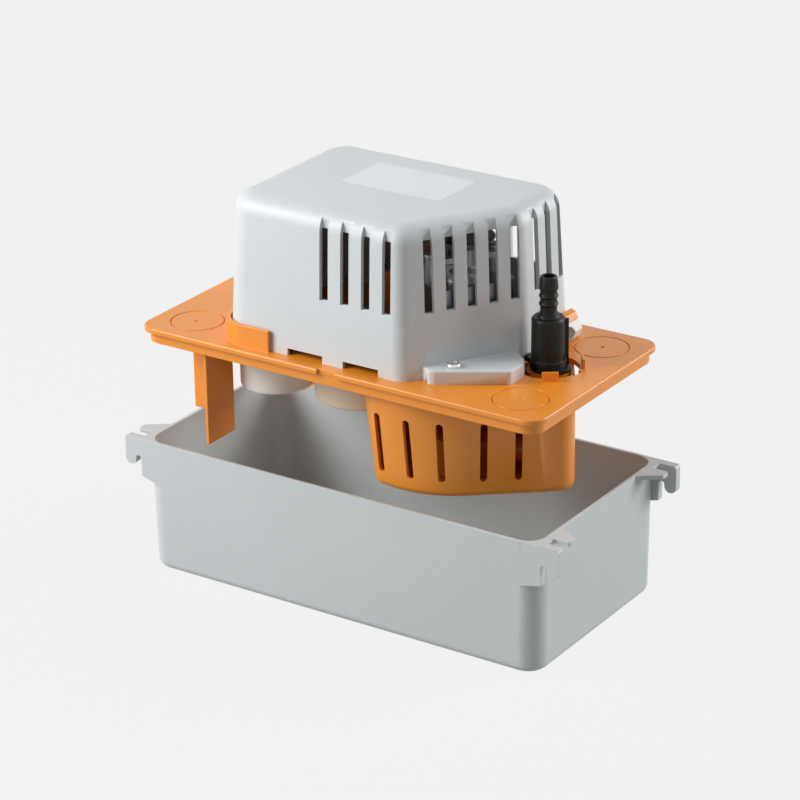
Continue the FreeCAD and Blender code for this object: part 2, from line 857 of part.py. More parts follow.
def switch_body(float_x, float_y):
    pivot_y, pivot_z = switch_frame(float_y)
    half = switch_width / 2
    low = pivot_z + switch_lift
    y1 = pivot_y + 2.0
    body = box(float_x - half, float_x + half, y1 - switch_length, y1, low, low + switch_height)
    body = body.makeFillet(0.6, upright_edges(body))
    ears = box(float_x - half, float_x + half, pivot_y - 1.6, pivot_y + 1.6, pivot_z - 1.4, low)
    body = body.fuse(ears)
    slot_half = lever_width / 2 + 0.15
    body = body.cut(box(float_x - slot_half, float_x + slot_half, pivot_y - 2, pivot_y + 2, pivot_z - 2,
                        low - 0.05))
    pin = Part.makeCylinder(pivot_radius, switch_width, V(float_x - half, pivot_y, pivot_z), V(1, 0, 0))
    body = body.fuse(pin)
    y = pivot_y - plunger_offset
    body = body.cut(rod(float_x, y, low - 1, low + 4, plunger_radius + running_gap))
    for y in switch_screw_places(pivot_y):
        hole = Part.makeCylinder(switch_screw_radius + 0.1, switch_width + 2,
                                 V(float_x - half - 1, y, low + switch_screw_rise), V(1, 0, 0))
        body = body.cut(hole)
    high = low + switch_height
    terminals = []
    for i in range(3):
        y = y1 - switch_tab_first - i * switch_tab_pitch
        terminals.append(box(float_x - 0.4, float_x + 0.4, y - switch_tab_length, y, high,
                             high + switch_tab_height))
    return fuse(body, *terminals)


def switch_screws(float_x, float_y):
    pivot_y, pivot_z = switch_frame(float_y)
    half = switch_width / 2
    screws = []
    for y in switch_screw_places(pivot_y):
        screw = pan_screw(0, 0, 0, switch_width, switch_screw_radius, switch_screw_head, switch_screw_height)
        screw.rotate(V(0, 0, 0), V(0, 1, 0), -90)
        screw.translate(V(float_x - half, y, pivot_z + switch_lift + switch_screw_rise))
        screws.append(screw)
    return screws


def switch_lever(float_x, float_y):
    """A flat lever under the switch, drawn level and then tilted down to the stem."""
    pivot_y, pivot_z = switch_frame(float_y)
    half = lever_width / 2
    length = lever_reach / math.cos(math.radians(lever_tilt)) + lever_overrun
    strip = box(float_x - half, float_x + half, pivot_y - length, pivot_y - 0.8, pivot_z - lever_thick / 2,
                pivot_z + lever_thick / 2)
    barrel = Part.makeCylinder(barrel_radius, lever_width, V(float_x - half, pivot_y, pivot_z), V(1, 0, 0))
    lever = strip.fuse(barrel)
    bore = Part.makeCylinder(pivot_radius + running_gap, lever_width + 2,
                             V(float_x - half - 1, pivot_y, pivot_z), V(1, 0, 0))
    lever = lever.cut(bore).removeSplitter()
    lever.rotate(V(float_x, pivot_y, pivot_z), V(1, 0, 0), lever_tilt)
    return lever


def switch_plunger(float_x, float_y):
    pivot_y, pivot_z = switch_frame(float_y)
    tilt = math.radians(lever_tilt)
    contact = pivot_z - plunger_offset * math.tan(tilt) + lever_thick / 2 / math.cos(tilt)
    tip = contact + plunger_radius * math.tan(tilt) + plunger_play
    return rod(float_x, pivot_y - plunger_offset, tip, pivot_z + switch_lift + 2.8, plunger_radius)


def float_body(x, y, low, height, radius):
    """A closed-cell float with softened edges, threaded on its stem."""
    body = rod(x, y, low, low + height, radius)
    body = body.makeFillet(1.6, edges_at(body, low) + edges_at(body, low + height))
    return body.cut(rod(x, y, low + 4, low + height + 1, stem_radius))


def float_stem(x, y, low):
    """The stem: a rod through the plate, with the collar that stops it on the plate."""
    stem = rod(x, y, low + 4, stem_top, stem_radius)
    stem = stem.makeFillet(0.8, edges_at(stem, stem_top))
    return stem.fuse(rod(x, y, seat_gap, seat_gap + 1.6, stem_collar_radius)).removeSplitter()


# Motor, drawn about its own axis

def stator_stack():
    corners = [
        (-stack_half_width, stack_front, stack_corner), (stack_half_width, stack_front, stack_corner),
        (stack_half_width, stack_rear, 2.0), (-stack_half_width, stack_rear, 2.0),
    ]
    top = stack_low + stack_height
    stack = prism(corners, stack_low, top)
    stack = stack.cut(rod(0, 0, stack_low - 1, top + 1, rotor_radius + air_gap))
    inner = stack_half_width - arm_width
    stack = stack.cut(box(-inner, inner, window_start, stack_rear - bar_width, stack_low - 1, top + 1))
    hole = screw_radius + screw_slack
    for side in (-1, 1):
        stack = stack.cut(rod(side * bolt_offset, 0, stack_low - 1, top + 1, hole))
        stack = stack.cut(rod(side * far_bolt_x, far_bolt_y, stack_low - 1, top + 1, hole))
    return at_motor(stack)


def coil_frame(grow):
    """The coil's box about the stack's cross bar, grown on every side."""
    y0 = stack_rear - bar_width
    return box(-coil_half_length, coil_half_length, y0 - grow, stack_rear + grow, stack_low - grow,
               stack_low + stack_height + grow)


def coil_slab(middle):
    """Everything between the coil's two end flanges."""
    return box(-middle, middle, 0, 2 * stack_rear, 0, 2 * (stack_low + stack_height))


def bobbin():
    slack = 0.2
    core = coil_frame(bobbin_wall)
    flanges = coil_frame(coil_depth)
    middle = coil_half_length - bobbin_wall
    flanges = flanges.cut(coil_slab(middle))
    y0 = stack_rear - bar_width
    hole = box(-stack_half_width, stack_half_width, y0 - slack, stack_rear + slack, stack_low - slack,
               stack_low + stack_height + slack)
    return at_motor(core.fuse(flanges).cut(hole).removeSplitter())


def winding():
    middle = coil_half_length - bobbin_wall - 0.2
    body = coil_frame(coil_depth - 1.0).common(coil_slab(middle))
    body = body.cut(coil_frame(bobbin_wall + 0.1))
    edges = [e for e in body.Edges if abs(e.BoundBox.XLength - 2 * middle) < 0.01]
    near = stack_rear - bar_width - 3
    far = stack_rear + 3
    outer = [e for e in edges if e.BoundBox.YMin < near or e.BoundBox.YMin > far]
    return at_motor(body.makeFillet(2.0, outer))


def shading_rings():
    """Copper rings let into the pole faces beside the rotor."""
    rings = []
    face = stack_low + stack_height
    half_x = shading_ring_width / 2
    half_y = shading_ring_length / 2
    for side in (-1, 1):
        x = side * shading_ring_x
        y = side * shading_ring_y
        ring = box(x - half_x, x + half_x, y - half_y, y + half_y, face, face + shading_ring_height)
        rings.append(at_motor(ring))
    return Part.makeCompound(rings)


def bracket(face, away):
    """A cast bridge over one face of the stack, with the bearing in its hub."""
    z_leg = sorted((face, face + away * bracket_gap))
    z_bar = sorted((face + away * bracket_gap, face + away * (bracket_gap + bracket_bar)))
    hub_far = face + away * (bracket_gap + bracket_bar + 3)
    z_hub = sorted((hub_far, hub_far - away * bearing_length))
    corners = rectangle(2 * stack_half_width, 2 * bracket_half_width, bracket_half_width - 0.5)
    body = prism(corners, z_bar[0], z_bar[1])
    body = body.fuse(rod(0, 0, z_hub[0], z_hub[1], bearing_radius + 3))
    for side in (-1, 1):
        body = body.fuse(rod(side * bolt_offset, 0, z_leg[0], z_leg[1], post_radius))
    body = body.cut(rod(0, 0, z_hub[0] - 1, z_hub[1] + 1, bearing_radius))
    for side in (-1, 1):
        body = body.cut(rod(side * bolt_offset, 0, min(z_leg[0], z_bar[0]) - 1, max(z_leg[1], z_bar[1]) + 1,
                            screw_radius + screw_slack))
    bush = tube(0, 0, z_hub[0], z_hub[1], bearing_radius, shaft_radius + running_gap)
    return at_motor(body.removeSplitter()), at_motor(bush)


def motor_bolts():
    """Two long bolts through both brackets, and two through the stack's far arms."""
    top = stack_low + stack_height + bracket_gap + bracket_bar
    bolts = []
    for side in (-1, 1):
        x, y = motor_point(side * bolt_offset, 0)
        bolts.append(pan_screw(x, y, top, top - 2))
        x, y = motor_point(side * far_bolt_x, far_bolt_y)
        bolts.append(pan_screw(x, y, stack_low + stack_height, stack_height + 11))
    return Part.makeCompound(bolts)


def motor_shaft():
    low = volute_top - volute_depth + volute_wall + 1
    return rod(motor_x, motor_y, low, fan_low + fan_height, shaft_radius)


def rotor_core():
    top = stack_low + stack_height
    core = tube(0, 0, stack_low, top, rotor_radius, shaft_radius)
    rings = tube(0, 0, stack_low - 2, stack_low, rotor_radius - 1, shaft_radius + 5)
    rings = rings.fuse(tube(0, 0, top, top + 2, rotor_radius - 1, shaft_radius + 5))
    return at_motor(core.fuse(rings).removeSplitter())


def cooling_fan():
    hub = tube(0, 0, fan_low, fan_low + fan_height, hub_radius, shaft_radius)
    disc = tube(0, 0, fan_low, fan_low + 1.4, fan_radius, shaft_radius)
    fan = hub.fuse(disc)
    for i in range(fan_blades):
        root = hub_radius - 1
        blade = box(root, fan_radius - 0.5, -0.6, 0.6, fan_low + 0.5, fan_low + fan_height - 0.5)
        blade.rotate(V(root, 0, 0), UP, 18)
        blade.rotate(V(0, 0, 0), UP, i * 360 / fan_blades)
        fan = fan.fuse(blade)
    return at_motor(fan.removeSplitter())


# Pump

def volute():
    """The pump casing under the shaft tube, its outlet pipe, and the riser to the valve's socket."""
    low = volute_top - volute_depth
    mid = (low + volute_top) / 2
    pipe = outlet_bore + outlet_wall
    body = rod(motor_x, motor_y, low, volute_top, volute_radius)
    run = Part.makeCylinder(pipe, valve_x - motor_x - 8, V(motor_x + 8, valve_y, mid), V(1, 0, 0))
    riser = rod(valve_x, valve_y, mid - pipe, -socket_depth - 2, pipe)
    socket = rod(valve_x, valve_y, -socket_depth - 2, -1, valve_spigot + socket_wall)
    body = fuse(body, run, riser, socket)
    chamber = rod(motor_x, motor_y, low - 1, volute_top - volute_wall, volute_radius - volute_wall)
    body = body.cut(chamber)
    start = motor_x + 10
    body = body.cut(Part.makeCylinder(outlet_bore, valve_x - start, V(start, valve_y, mid), V(1, 0, 0)))
    body = body.cut(rod(valve_x, valve_y, mid, 1, outlet_bore))
    body = body.cut(rod(valve_x, valve_y, -socket_depth, 1, valve_spigot + running_gap))
    shaft_hole = rod(motor_x, motor_y, volute_top - 5, volute_top + 1, shaft_radius + 0.8)
    return body.cut(shaft_hole).removeSplitter()


def volute_cover():
    low = volute_top - volute_depth
    return tube(motor_x, motor_y, low - volute_cover_thick, low, volute_radius, eye_radius)


def impeller():
    low = volute_top - volute_depth + 1.5
    hub = tube(0, 0, low, low + impeller_height, hub_radius, shaft_radius)
    disc = tube(0, 0, low + impeller_height - 1.6, low + impeller_height, impeller_radius, shaft_radius)
    wheel = hub.fuse(disc)
    for i in range(impeller_blades):
        root = hub_radius - 1
        blade = box(root, impeller_radius - 0.8, -0.8, 0.8, low, low + impeller_height - 1)
        blade.rotate(V(root, 0, 0), UP, -28)
        blade.rotate(V(0, 0, 0), UP, i * 360 / impeller_blades)
        wheel = wheel.fuse(blade.common(rod(0, 0, low - 1, low + impeller_height, impeller_radius)))
    return at_motor(wheel.removeSplitter())


def shaft_seal():
    return tube(motor_x, motor_y, -4, 0, shaft_tube_bore, shaft_radius + 0.1)


def slinger():
    return tube(motor_x, motor_y, 1.0, 3.0, hub_radius, shaft_radius)


# Check valve

def valve_body():
    """Spigot, barrel and barbed nozzle in one moulding, hollow for the ball."""
    step = valve_top - valve_shoulder
    profile = [
        (0, -socket_depth + 1), (valve_spigot, -socket_depth + 1), (valve_spigot, 0),
        (valve_radius + 0.6, 0.2), (valve_radius + 0.6, 4.5), (valve_radius, 6),
        (valve_radius - 0.3, valve_shoulder - 1.2),
        (valve_radius - 1.4, valve_shoulder), (barb_radius + 1.0, valve_shoulder),
        (barb_radius + 0.6, valve_shoulder + 1.5), (barb_neck, valve_shoulder + 2.2),
    ]
    for share in (0.30, 0.50):
        z = valve_shoulder + step * share
        profile += [(barb_neck, z - 0.6), (barb_radius, z), (barb_radius, z + 0.5), (barb_neck, z + 2.0)]
    tip = valve_shoulder + step * 0.72
    profile += [(barb_neck, tip - 1.2), (barb_radius, tip - 0.8), (barb_radius, tip + 1.6),
                (barb_neck, valve_top - 0.4), (barb_neck - 0.4, valve_top), (0, valve_top)]
    body = turned(valve_x, valve_y, profile)
    sweep = rod(0, 0, lug_low, lug_low + lug_thick, lug_reach)
    for angle in (lug_angle, lug_angle + 180):
        lug = box(valve_radius - 1, lug_reach, -lug_half_width, lug_half_width, lug_low, lug_low + lug_thick)
        lug = lug.common(sweep)
        lug = lug.makeFillet(2.0, [e for e in upright_edges(lug) if e.BoundBox.XMin > valve_radius])
        lug.rotate(V(0, 0, 0), UP, angle)
        lug.translate(V(valve_x, valve_y, 0))
        body = body.fuse(lug)
    rib = box(valve_radius - 1, valve_radius + rib_proud, -rib_thick / 2, rib_thick / 2, lug_low,
              valve_shoulder - 1)
    rib.rotate(V(0, 0, 0), UP, rib_angle)
    rib.translate(V(valve_x, valve_y, 0))
    body = body.fuse(rib)
    body = body.cut(rod(valve_x, valve_y, -socket_depth, ball_seat_top + 18, ball_chamber))
    throat = taper(valve_x, valve_y, ball_seat_top + 18, ball_seat_top + 22, ball_chamber, nozzle_bore)
    body = body.cut(throat)
    return body.cut(rod(valve_x, valve_y, ball_seat_top + 20, valve_top + 1, nozzle_bore)).removeSplitter()


def valve_seat():
    return tube(valve_x, valve_y, -socket_depth + 1, ball_seat_top, ball_chamber, ball_seat_bore)


def valve_ball():
    drop = math.sqrt((ball_radius + ball_gap) ** 2 - ball_seat_bore ** 2)
    return Part.makeSphere(ball_radius, V(valve_x, valve_y, ball_seat_top + drop))


def valve_o_ring():
    groove = -socket_depth + 0.6
    return tube(valve_x, valve_y, -socket_depth + 0.05, groove + 0.35, valve_spigot - 0.4, valve_spigot - 2.0)


# Terminals and cord inlet

def terminal_seat():
    half = terminal_length / 2
    return box(terminal_x - half, terminal_x + half, terminal_y - 5, terminal_y + 5, 0, terminal_seat_height)


def terminal_block():
    half = terminal_length / 2
    wide = terminal_width / 2
    z0 = terminal_seat_height
    top = z0 + terminal_height
    block = box(terminal_x - half, terminal_x + half, terminal_y - wide, terminal_y + wide, z0, top)
    block = block.makeFillet(1.0, edges_at(block, top))
    for i in (-1, 0, 1):
        x = terminal_x + i * terminal_pitch
        block = block.cut(rod(x, terminal_y, z0 + 5, top + 1, 2.2))
        wire = Part.makeCylinder(1.4, terminal_width + 2, V(x, terminal_y - wide - 1, z0 + 3.2), V(0, 1, 0))
        block = block.cut(wire)
    return block


def terminal_screws():
    seat = terminal_seat_height + 7
    screws = []
    for i in (-1, 0, 1):
        screws.append(pan_screw(terminal_x + i * terminal_pitch, terminal_y, seat, 2.0, 1.2, 2.1, 1.4))
    return Part.makeCompound(screws)


def cord_grommet():
    """The pale block that the cord passes through, with a bevelled outer face."""
    x0 = cover_right - cover_wall
    end = cord_block_end
    y0 = cord_y - cord_half_width
    hip = cord_block_height / 2
    side = [V(x0, y0, 0), V(end - 3.0, y0, 0), V(end - 1.0, y0, 1.5), V(end, y0, hip),
            V(cover_right + cord_hood_reach, y0, cord_block_height), V(x0, y0, cord_block_height)]
    block = Part.Face(Part.makePolygon(side + side[:1])).extrude(V(0, 2 * cord_half_width, 0))
    bore = Part.makeCylinder(cord_radius, end - x0 + 2, V(x0 - 1, cord_y, hip), V(1, 0, 0))
    return block.cut(bore)


def cord_hood():
    """The sloping cap over the grommet, against the cover's end."""
    x0 = cover_right + curb_clearance
    x1 = cover_right + cord_hood_reach
    y0 = cord_y - cord_half_width
    low = cord_block_height
    high = cord_hood_height
    side = [V(x0, y0, low), V(x1, y0, low), V(x1 - 1.4, y0, high - 1.2), V(x0 + 0.5, y0, high),
            V(x0, y0, high)]
    return Part.Face(Part.makePolygon(side + side[:1])).extrude(V(0, 2 * cord_half_width, 0))


def label():
    """A thin blank label stuck on the cover's top."""
    corners = rectangle(label_length, label_width, label_corner, label_x, cover_half_width - label_inset)
    return prism(corners, cover_height, cover_height + label_thick)


def build():
    """Every piece by node name, and whether it belongs to the lifted head."""
    top_bracket, top_bearing = bracket(stack_low + stack_height, 1)
    low_bracket, low_bearing = bracket(stack_low, -1)
    pieces = {
        "tank": (tank(), False),
        "base_plate": (base_plate(), True),
        "strainer_basket": (strainer_basket(), True),
        "pump_cover": (cover(), True),
        "cover_label": (label(), True),
        "cover_screw": (pan_screw(cover_screw_x, cover_screw_y, flange_thick, cover_screw_length), True),
        "stator_stack": (stator_stack(), True),
        "coil_bobbin": (bobbin(), True),
        "coil_winding": (winding(), True),
        "shading_rings": (shading_rings(), True),
        "top_bearing_bracket": (top_bracket, True),
        "top_bearing": (top_bearing, True),
        "lower_bearing_bracket": (low_bracket, True),
        "lower_bearing": (low_bearing, True),
        "motor_bolts": (motor_bolts(), True),
        "motor_shaft": (motor_shaft(), True),
        "rotor_core": (rotor_core(), True),
        "cooling_fan": (cooling_fan(), True),
        "shaft_slinger": (slinger(), True),
        "impeller": (impeller(), True),
        "shaft_seal": (shaft_seal(), True),
        "volute_casing": (volute(), True),
        "volute_cover": (volute_cover(), True),
        "valve_body": (valve_body(), True),
        "valve_seat": (valve_seat(), True),
        "valve_ball": (valve_ball(), True),
        "valve_o_ring": (valve_o_ring(), True),
        "terminal_block": (terminal_block(), True),
        "terminal_screws": (terminal_screws(), True),
        "cord_grommet": (cord_grommet(), True),
        "cord_hood": (cord_hood(), True),
    }
    floats = {
        "run": (run_float_x, run_float_y, run_float_low, run_float_height, run_float_radius),
        "alarm": (alarm_float_x, alarm_float_y, alarm_float_low, alarm_float_height, alarm_float_radius),
    }
    screws = []
    for name, (x, y, low, height, radius) in floats.items():
        pieces[name + "_float"] = (float_body(x, y, low, height, radius), True)
        pieces[name + "_float_stem"] = (float_stem(x, y, low), True)
        pieces[name + "_switch"] = (switch_body(x, y), True)
        pieces[name + "_switch_lever"] = (switch_lever(x, y), True)
        pieces[name + "_switch_plunger"] = (switch_plunger(x, y), True)
        screws += switch_screws(x, y)
    pieces["switch_screws"] = (Part.makeCompound(screws), True)
    return pieces


os.makedirs("parts", exist_ok=True)
for node, (shape, lifted) in build().items():
    if lifted:
        shape = shape.copy()
        shape.translate(V(0, 0, plate_top))
    bounds = shape.BoundBox
    print(f"{node:24s} solids {len(shape.Solids)} valid {shape.isValid()} volume {shape.Volume:10.1f} "
          f"x {bounds.XMin:7.1f} {bounds.XMax:7.1f} y {bounds.YMin:6.1f} {bounds.YMax:6.1f} "
          f"z {bounds.ZMin:6.1f} {bounds.ZMax:6.1f}")
    shape.exportStep(os.path.join("parts", node + ".step"))
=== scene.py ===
"""Condensate pump: surface finishes, fine detail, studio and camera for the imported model.

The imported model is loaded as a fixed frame, in metres. Its origin is the middle of
the tank's underside, +X points to the outlet end and +Z is up. Each operator below
dresses one piece, or one group of like pieces, and the panel in the sidebar lists
them with the sizes and colours that they read.
"""
import json
import math

import bmesh
import bpy
from bpy.props import FloatProperty, FloatVectorProperty, IntProperty, PointerProperty
from bpy.types import Operator, Panel, PropertyGroup
from mathutils import Matrix, Quaternion, Vector

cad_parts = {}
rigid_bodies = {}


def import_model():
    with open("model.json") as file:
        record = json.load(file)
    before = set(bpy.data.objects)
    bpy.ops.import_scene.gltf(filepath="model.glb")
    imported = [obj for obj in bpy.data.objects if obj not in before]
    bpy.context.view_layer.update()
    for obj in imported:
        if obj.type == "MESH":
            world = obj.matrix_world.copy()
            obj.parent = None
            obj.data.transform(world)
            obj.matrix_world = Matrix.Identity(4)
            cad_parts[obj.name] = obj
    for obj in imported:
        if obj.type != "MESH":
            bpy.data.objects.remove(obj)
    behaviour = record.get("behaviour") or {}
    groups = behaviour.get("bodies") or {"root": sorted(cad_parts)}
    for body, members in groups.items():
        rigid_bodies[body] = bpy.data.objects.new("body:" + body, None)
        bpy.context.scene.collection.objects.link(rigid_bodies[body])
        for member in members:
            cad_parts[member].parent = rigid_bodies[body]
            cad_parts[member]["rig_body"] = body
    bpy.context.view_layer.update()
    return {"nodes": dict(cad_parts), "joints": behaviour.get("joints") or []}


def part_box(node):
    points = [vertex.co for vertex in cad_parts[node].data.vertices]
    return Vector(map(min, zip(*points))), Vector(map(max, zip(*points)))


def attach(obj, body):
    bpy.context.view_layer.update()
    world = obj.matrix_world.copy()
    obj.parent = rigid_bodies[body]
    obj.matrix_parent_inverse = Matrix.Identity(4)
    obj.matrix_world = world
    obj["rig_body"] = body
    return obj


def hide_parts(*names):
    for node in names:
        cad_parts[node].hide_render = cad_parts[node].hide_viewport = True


bl_info = {
    "name": "Condensate pump",
    "version": (1, 0, 0),
    "blender": (4, 5, 0),
    "location": "3D View > Sidebar > Condensate pump",
    "description": "Dresses the packed condensate pump with its finishes, details and studio",
    "category": "Object",
}

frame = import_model()

MILLIMETRE = 0.001

# Where the three square lamps stand, and how wide they are
KEY_PLACE = (-0.62, -0.62, 0.68)
KEY_WIDTH = 0.5
SIDE_PLACE = (1.15, 1.1, 0.75)
SIDE_WIDTH = 0.9
FILL_PLACE = (-0.75, -1.2, 0.22)
FILL_WIDTH = 0.6

# The camera's sensor, in millimetres, and the nearest thing that it sees
SENSOR_WIDTH = 36.0
NEAREST_SEEN = 0.05

# The floor, just under the tank: its grey for the light that reaches it, and how much
# of what the camera sees there is the backdrop's own colour, made a little brighter
FLOOR_HALF = 9.0
FLOOR_DROP = 0.02 * MILLIMETRE
FLOOR_GREY = 0.36
BACKDROP_SHARE = 0.94
BACKDROP_GAIN = 1.025

# Copies of the CAD's surfaces: what counts as one point, one flat face and a sharp edge
SAME_POINT = 0.001 * MILLIMETRE
FLAT_ANGLE = math.radians(0.3)
SHARP_ANGLE = math.radians(35.0)
TURNED_SHARP_ANGLE = math.radians(40.0)

# The small ring that moulding leaves on the cover's top: its centre, its heights under
# and over the top, and where it slopes, as shares of its radius
GATE_X = -34.0 * MILLIMETRE
GATE_Y = 7.2 * MILLIMETRE
GATE_SINK = 0.3 * MILLIMETRE
GATE_SKIN = 0.02 * MILLIMETRE
GATE_CREST = 0.09 * MILLIMETRE
GATE_OUTER_SLOPE = 0.93
GATE_INNER_SLOPE = 0.84
GATE_INNER_FOOT = 0.76
GATE_STEPS = 48

# The motor: how far up a top face's normal points, the coil's corners and the wire's sides
TOP_FACING = 0.9
COIL_CORNER = 1.6 * MILLIMETRE
COIL_CORNER_STEPS = 3
WIRE_SIDES = 6

# The fan and the impeller
WHEEL_BORE = 2.5 * MILLIMETRE
WHEEL_HUB = 6.0 * MILLIMETRE
WHEEL_EDGE = 0.3 * MILLIMETRE
WHEEL_STEPS = 60
FAN_DISC = 1.4 * MILLIMETRE
IMPELLER_DISC = 1.6 * MILLIMETRE
IMPELLER_THICKER = 1.3
BLADE_IN_HUB = 0.6 * MILLIMETRE
BLADE_FROM_RIM = 0.8 * MILLIMETRE
BLADE_FROM_TIP = 0.4 * MILLIMETRE
BLADE_TAPER = 0.35
BLADE_STEPS = 4


def srgb(red, green, blue):
    """Screen values from 0 to 255 as the linear colour that a shader takes."""
    linear = []
    for value in (red, green, blue):
        share = value / 255
        linear.append(share / 12.92 if share <= 0.04045 else ((share + 0.055) / 1.055) ** 2.4)
    return tuple(linear)


def colour_property(name, description, default):
    return FloatVectorProperty(name=name, description=description, subtype="COLOR", size=3, min=0.0,
                               max=1.0, default=default)


def length_property(name, description, default):
    return FloatProperty(name=name, description=description, unit="LENGTH", min=0.0, precision=5,
                         default=default)


def angle_property(name, description, degrees):
    return FloatProperty(name=name, description=description, subtype="ANGLE", default=math.radians(degrees))


def power_property(name, description, watts):
    return FloatProperty(name=name, description=description, subtype="POWER", unit="POWER", min=0.0,
                         default=watts)


def count_property(name, description, least, default):
    return IntProperty(name=name, description=description, min=least, default=default)


class StudioSettings(PropertyGroup):
    azimuth: angle_property("Azimuth", "The camera's turn round the pump from its long front", 33.96)
    elevation: angle_property("Elevation", "The camera's height above the level view", 23.12)
    roll: angle_property("Roll", "The camera's turn about its own line of sight", -0.88)
    distance: length_property("Distance", "From the camera to the point that it looks at", 1.674)
    target: FloatVectorProperty(name="Target", description="The point that the camera looks at", size=3,
                                subtype="TRANSLATION", unit="LENGTH", default=(0.009, -0.0115, 0.1124))
    lens: FloatProperty(name="Lens", description="Focal length in millimetres", min=20.0, default=140.3)
    backdrop: colour_property("Backdrop", "Colour of the floor and the background", srgb(243, 243, 243))
    ambient: FloatProperty(name="Ambient", description="Level of the light from all round", min=0.0,
                           default=0.23)
    key_power: power_property("Key light", "Power of the lamp near the upper left", 9.4)
    side_power: power_property("Side light", "Power of the lamp behind the outlet end", 22.0)
    fill_power: power_property("Fill light", "Power of the low lamp at the front left", 2.8)


class TankSettings(PropertyGroup):
    colour: colour_property("Tank colour", "Colour of the tank's plastic", srgb(202, 208, 209))
    edge: length_property("Edge radius", "Radius on the tank's edges", 0.18 * MILLIMETRE)


class HeadSettings(PropertyGroup):
    colour: colour_property("Plate colour", "Colour of the base plate, the basket and the pump casing",
                            srgb(238, 146, 34))
    edge: length_property("Edge radius", "Radius on the base plate's edges", 0.25 * MILLIMETRE)


class CoverSettings(PropertyGroup):
    colour: colour_property("Cover colour", "Colour of the cover's plastic", srgb(212, 217, 219))
    label_colour: colour_property("Label colour", "Colour of the bare label", srgb(226, 230, 235))
    gate_radius: length_property("Gate mark", "Radius of the moulding mark on the top", 3.6 * MILLIMETRE)


class ValveSettings(PropertyGroup):
    colour: colour_property("Valve colour", "Colour of the check valve's plastic", srgb(17, 18, 13))
    edge: length_property("Edge radius", "Radius on the valve's edges", 0.2 * MILLIMETRE)


class FloatSettings(PropertyGroup):
    run_colour: colour_property("Run float", "Colour of the large float", srgb(232, 218, 194))
    alarm_colour: colour_property("Alarm float", "Colour of the small float", srgb(247, 243, 235))
    edge: length_property("Edge radius", "Radius on the floats' edges", 0.3 * MILLIMETRE)


class MotorSettings(PropertyGroup):
    turn: angle_property("Turn", "The motor's turn about its shaft", 56.5)
    sheets: count_property("Sheets", "Number of sheets in the laminated stack", 2, 28)
    sheet_gap: length_property("Sheet gap", "Groove that shows between two sheets", 0.09 * MILLIMETRE)
    wire: length_property("Wire", "Diameter of the coil's enamelled wire", 0.55 * MILLIMETRE)
    fan_blades: count_property("Fan blades", "Number of blades on the cooling fan", 3, 7)
    fan_sweep: angle_property("Fan sweep", "Angle of the fan's blades from the radius", 18.0)
    impeller_blades: count_property("Impeller blades", "Number of blades on the impeller", 3, 6)
    impeller_sweep: angle_property("Impeller sweep", "Angle of the impeller's blades from the radius", -28.0)
    blade: length_property("Blade", "Thickness of a fan blade at its root", 1.2 * MILLIMETRE)
    copper: colour_property("Copper", "Colour of the coil's wire and the shading rings", (0.60, 0.25, 0.11))


class InletSettings(PropertyGroup):
    colour: colour_property("Inlet colour", "Colour of the cord inlet's block", srgb(216, 214, 216))
    edge: length_property("Edge radius", "Radius on the edges of the block and its hood", 0.3 * MILLIMETRE)


class Value:
    """A shader value that takes part in Python sums. Each step adds a Math node."""

    def __init__(self, tree, socket):
        self.tree = tree
        self.socket = socket

    def maths(self, operation, first, second, clamp=False):
        settings = {"operation": operation, "use_clamp": clamp}
        return self.tree.node("ShaderNodeMath", settings, {0: first, 1: second})

    def __add__(self, other):
        return self.maths("ADD", self, other)

    def __radd__(self, other):
        return self.maths("ADD", other, self)

    def __sub__(self, other):
        return self.maths("SUBTRACT", self, other)

    def __rsub__(self, other):
        return self.maths("SUBTRACT", other, self)

    def __mul__(self, other):
        return self.maths("MULTIPLY", self, other)

    def __rmul__(self, other):
        return self.maths("MULTIPLY", other, self)

    def __rtruediv__(self, other):
        return self.maths("DIVIDE", other, self)

    def clipped(self):
        return self.maths("ADD", self, 0.0, True)


class Tree:
    """A node tree, of shaders or of geometry, that is filled one node at a time."""

    def __init__(self, tree):
        self.nodes = tree.nodes
        self.links = tree.links

    def feed(self, socket, value):
        if isinstance(value, Value):
            self.links.new(value.socket, socket)
        else:
            socket.default_value = value

    def node(self, kind, settings=None, inputs=None, output=0):
        made = self.nodes.new(kind)
        for key, value in (settings or {}).items():
            setattr(made, key, value)
        for key, value in (inputs or {}).items():
            self.feed(made.inputs[key], value)
        return Value(self, made.outputs[output])


class Finish(Tree):
    """A material built round one Principled shader, with its pattern on Object coordinates."""

    def __init__(self, name, constants):
        self.material = bpy.data.materials.new(name)
        self.material.use_nodes = True
        super().__init__(self.material.node_tree)
        self.shader = self.nodes["Principled BSDF"]
        for key, value in constants.items():
            self.shader.inputs[key].default_value = value
        self.place = self.node("ShaderNodeTexCoord", output="Object")

    def noise(self, scale, detail):
        return self.node("ShaderNodeTexNoise", {}, {"Vector": self.place, "Scale": scale, "Detail": detail})

    def pores(self, scale):
        return self.node("ShaderNodeTexVoronoi", {}, {"Vector": self.place, "Scale": scale}, "Distance")

    def cloudy(self, colour, spread, share):
        """The colour, a little darker where share is low and a little lighter where it is high."""
        dark = [channel * (1 - spread) for channel in colour]
        light = [min(1.0, channel * (1 + spread)) for channel in colour]
        blend = {0: share.clipped(), 6: (*dark, 1.0), 7: (*light, 1.0)}
        mixed = self.node("ShaderNodeMix", {"data_type": "RGBA"}, blend, 2)
        self.feed(self.shader.inputs["Base Color"], mixed)

    def rough(self, value):
        self.feed(self.shader.inputs["Roughness"], value)

    def relief(self, height, depth):
        bump = self.node("ShaderNodeBump", {}, {"Strength": 1.0, "Distance": depth, "Height": height})
        self.feed(self.shader.inputs["Normal"], bump)


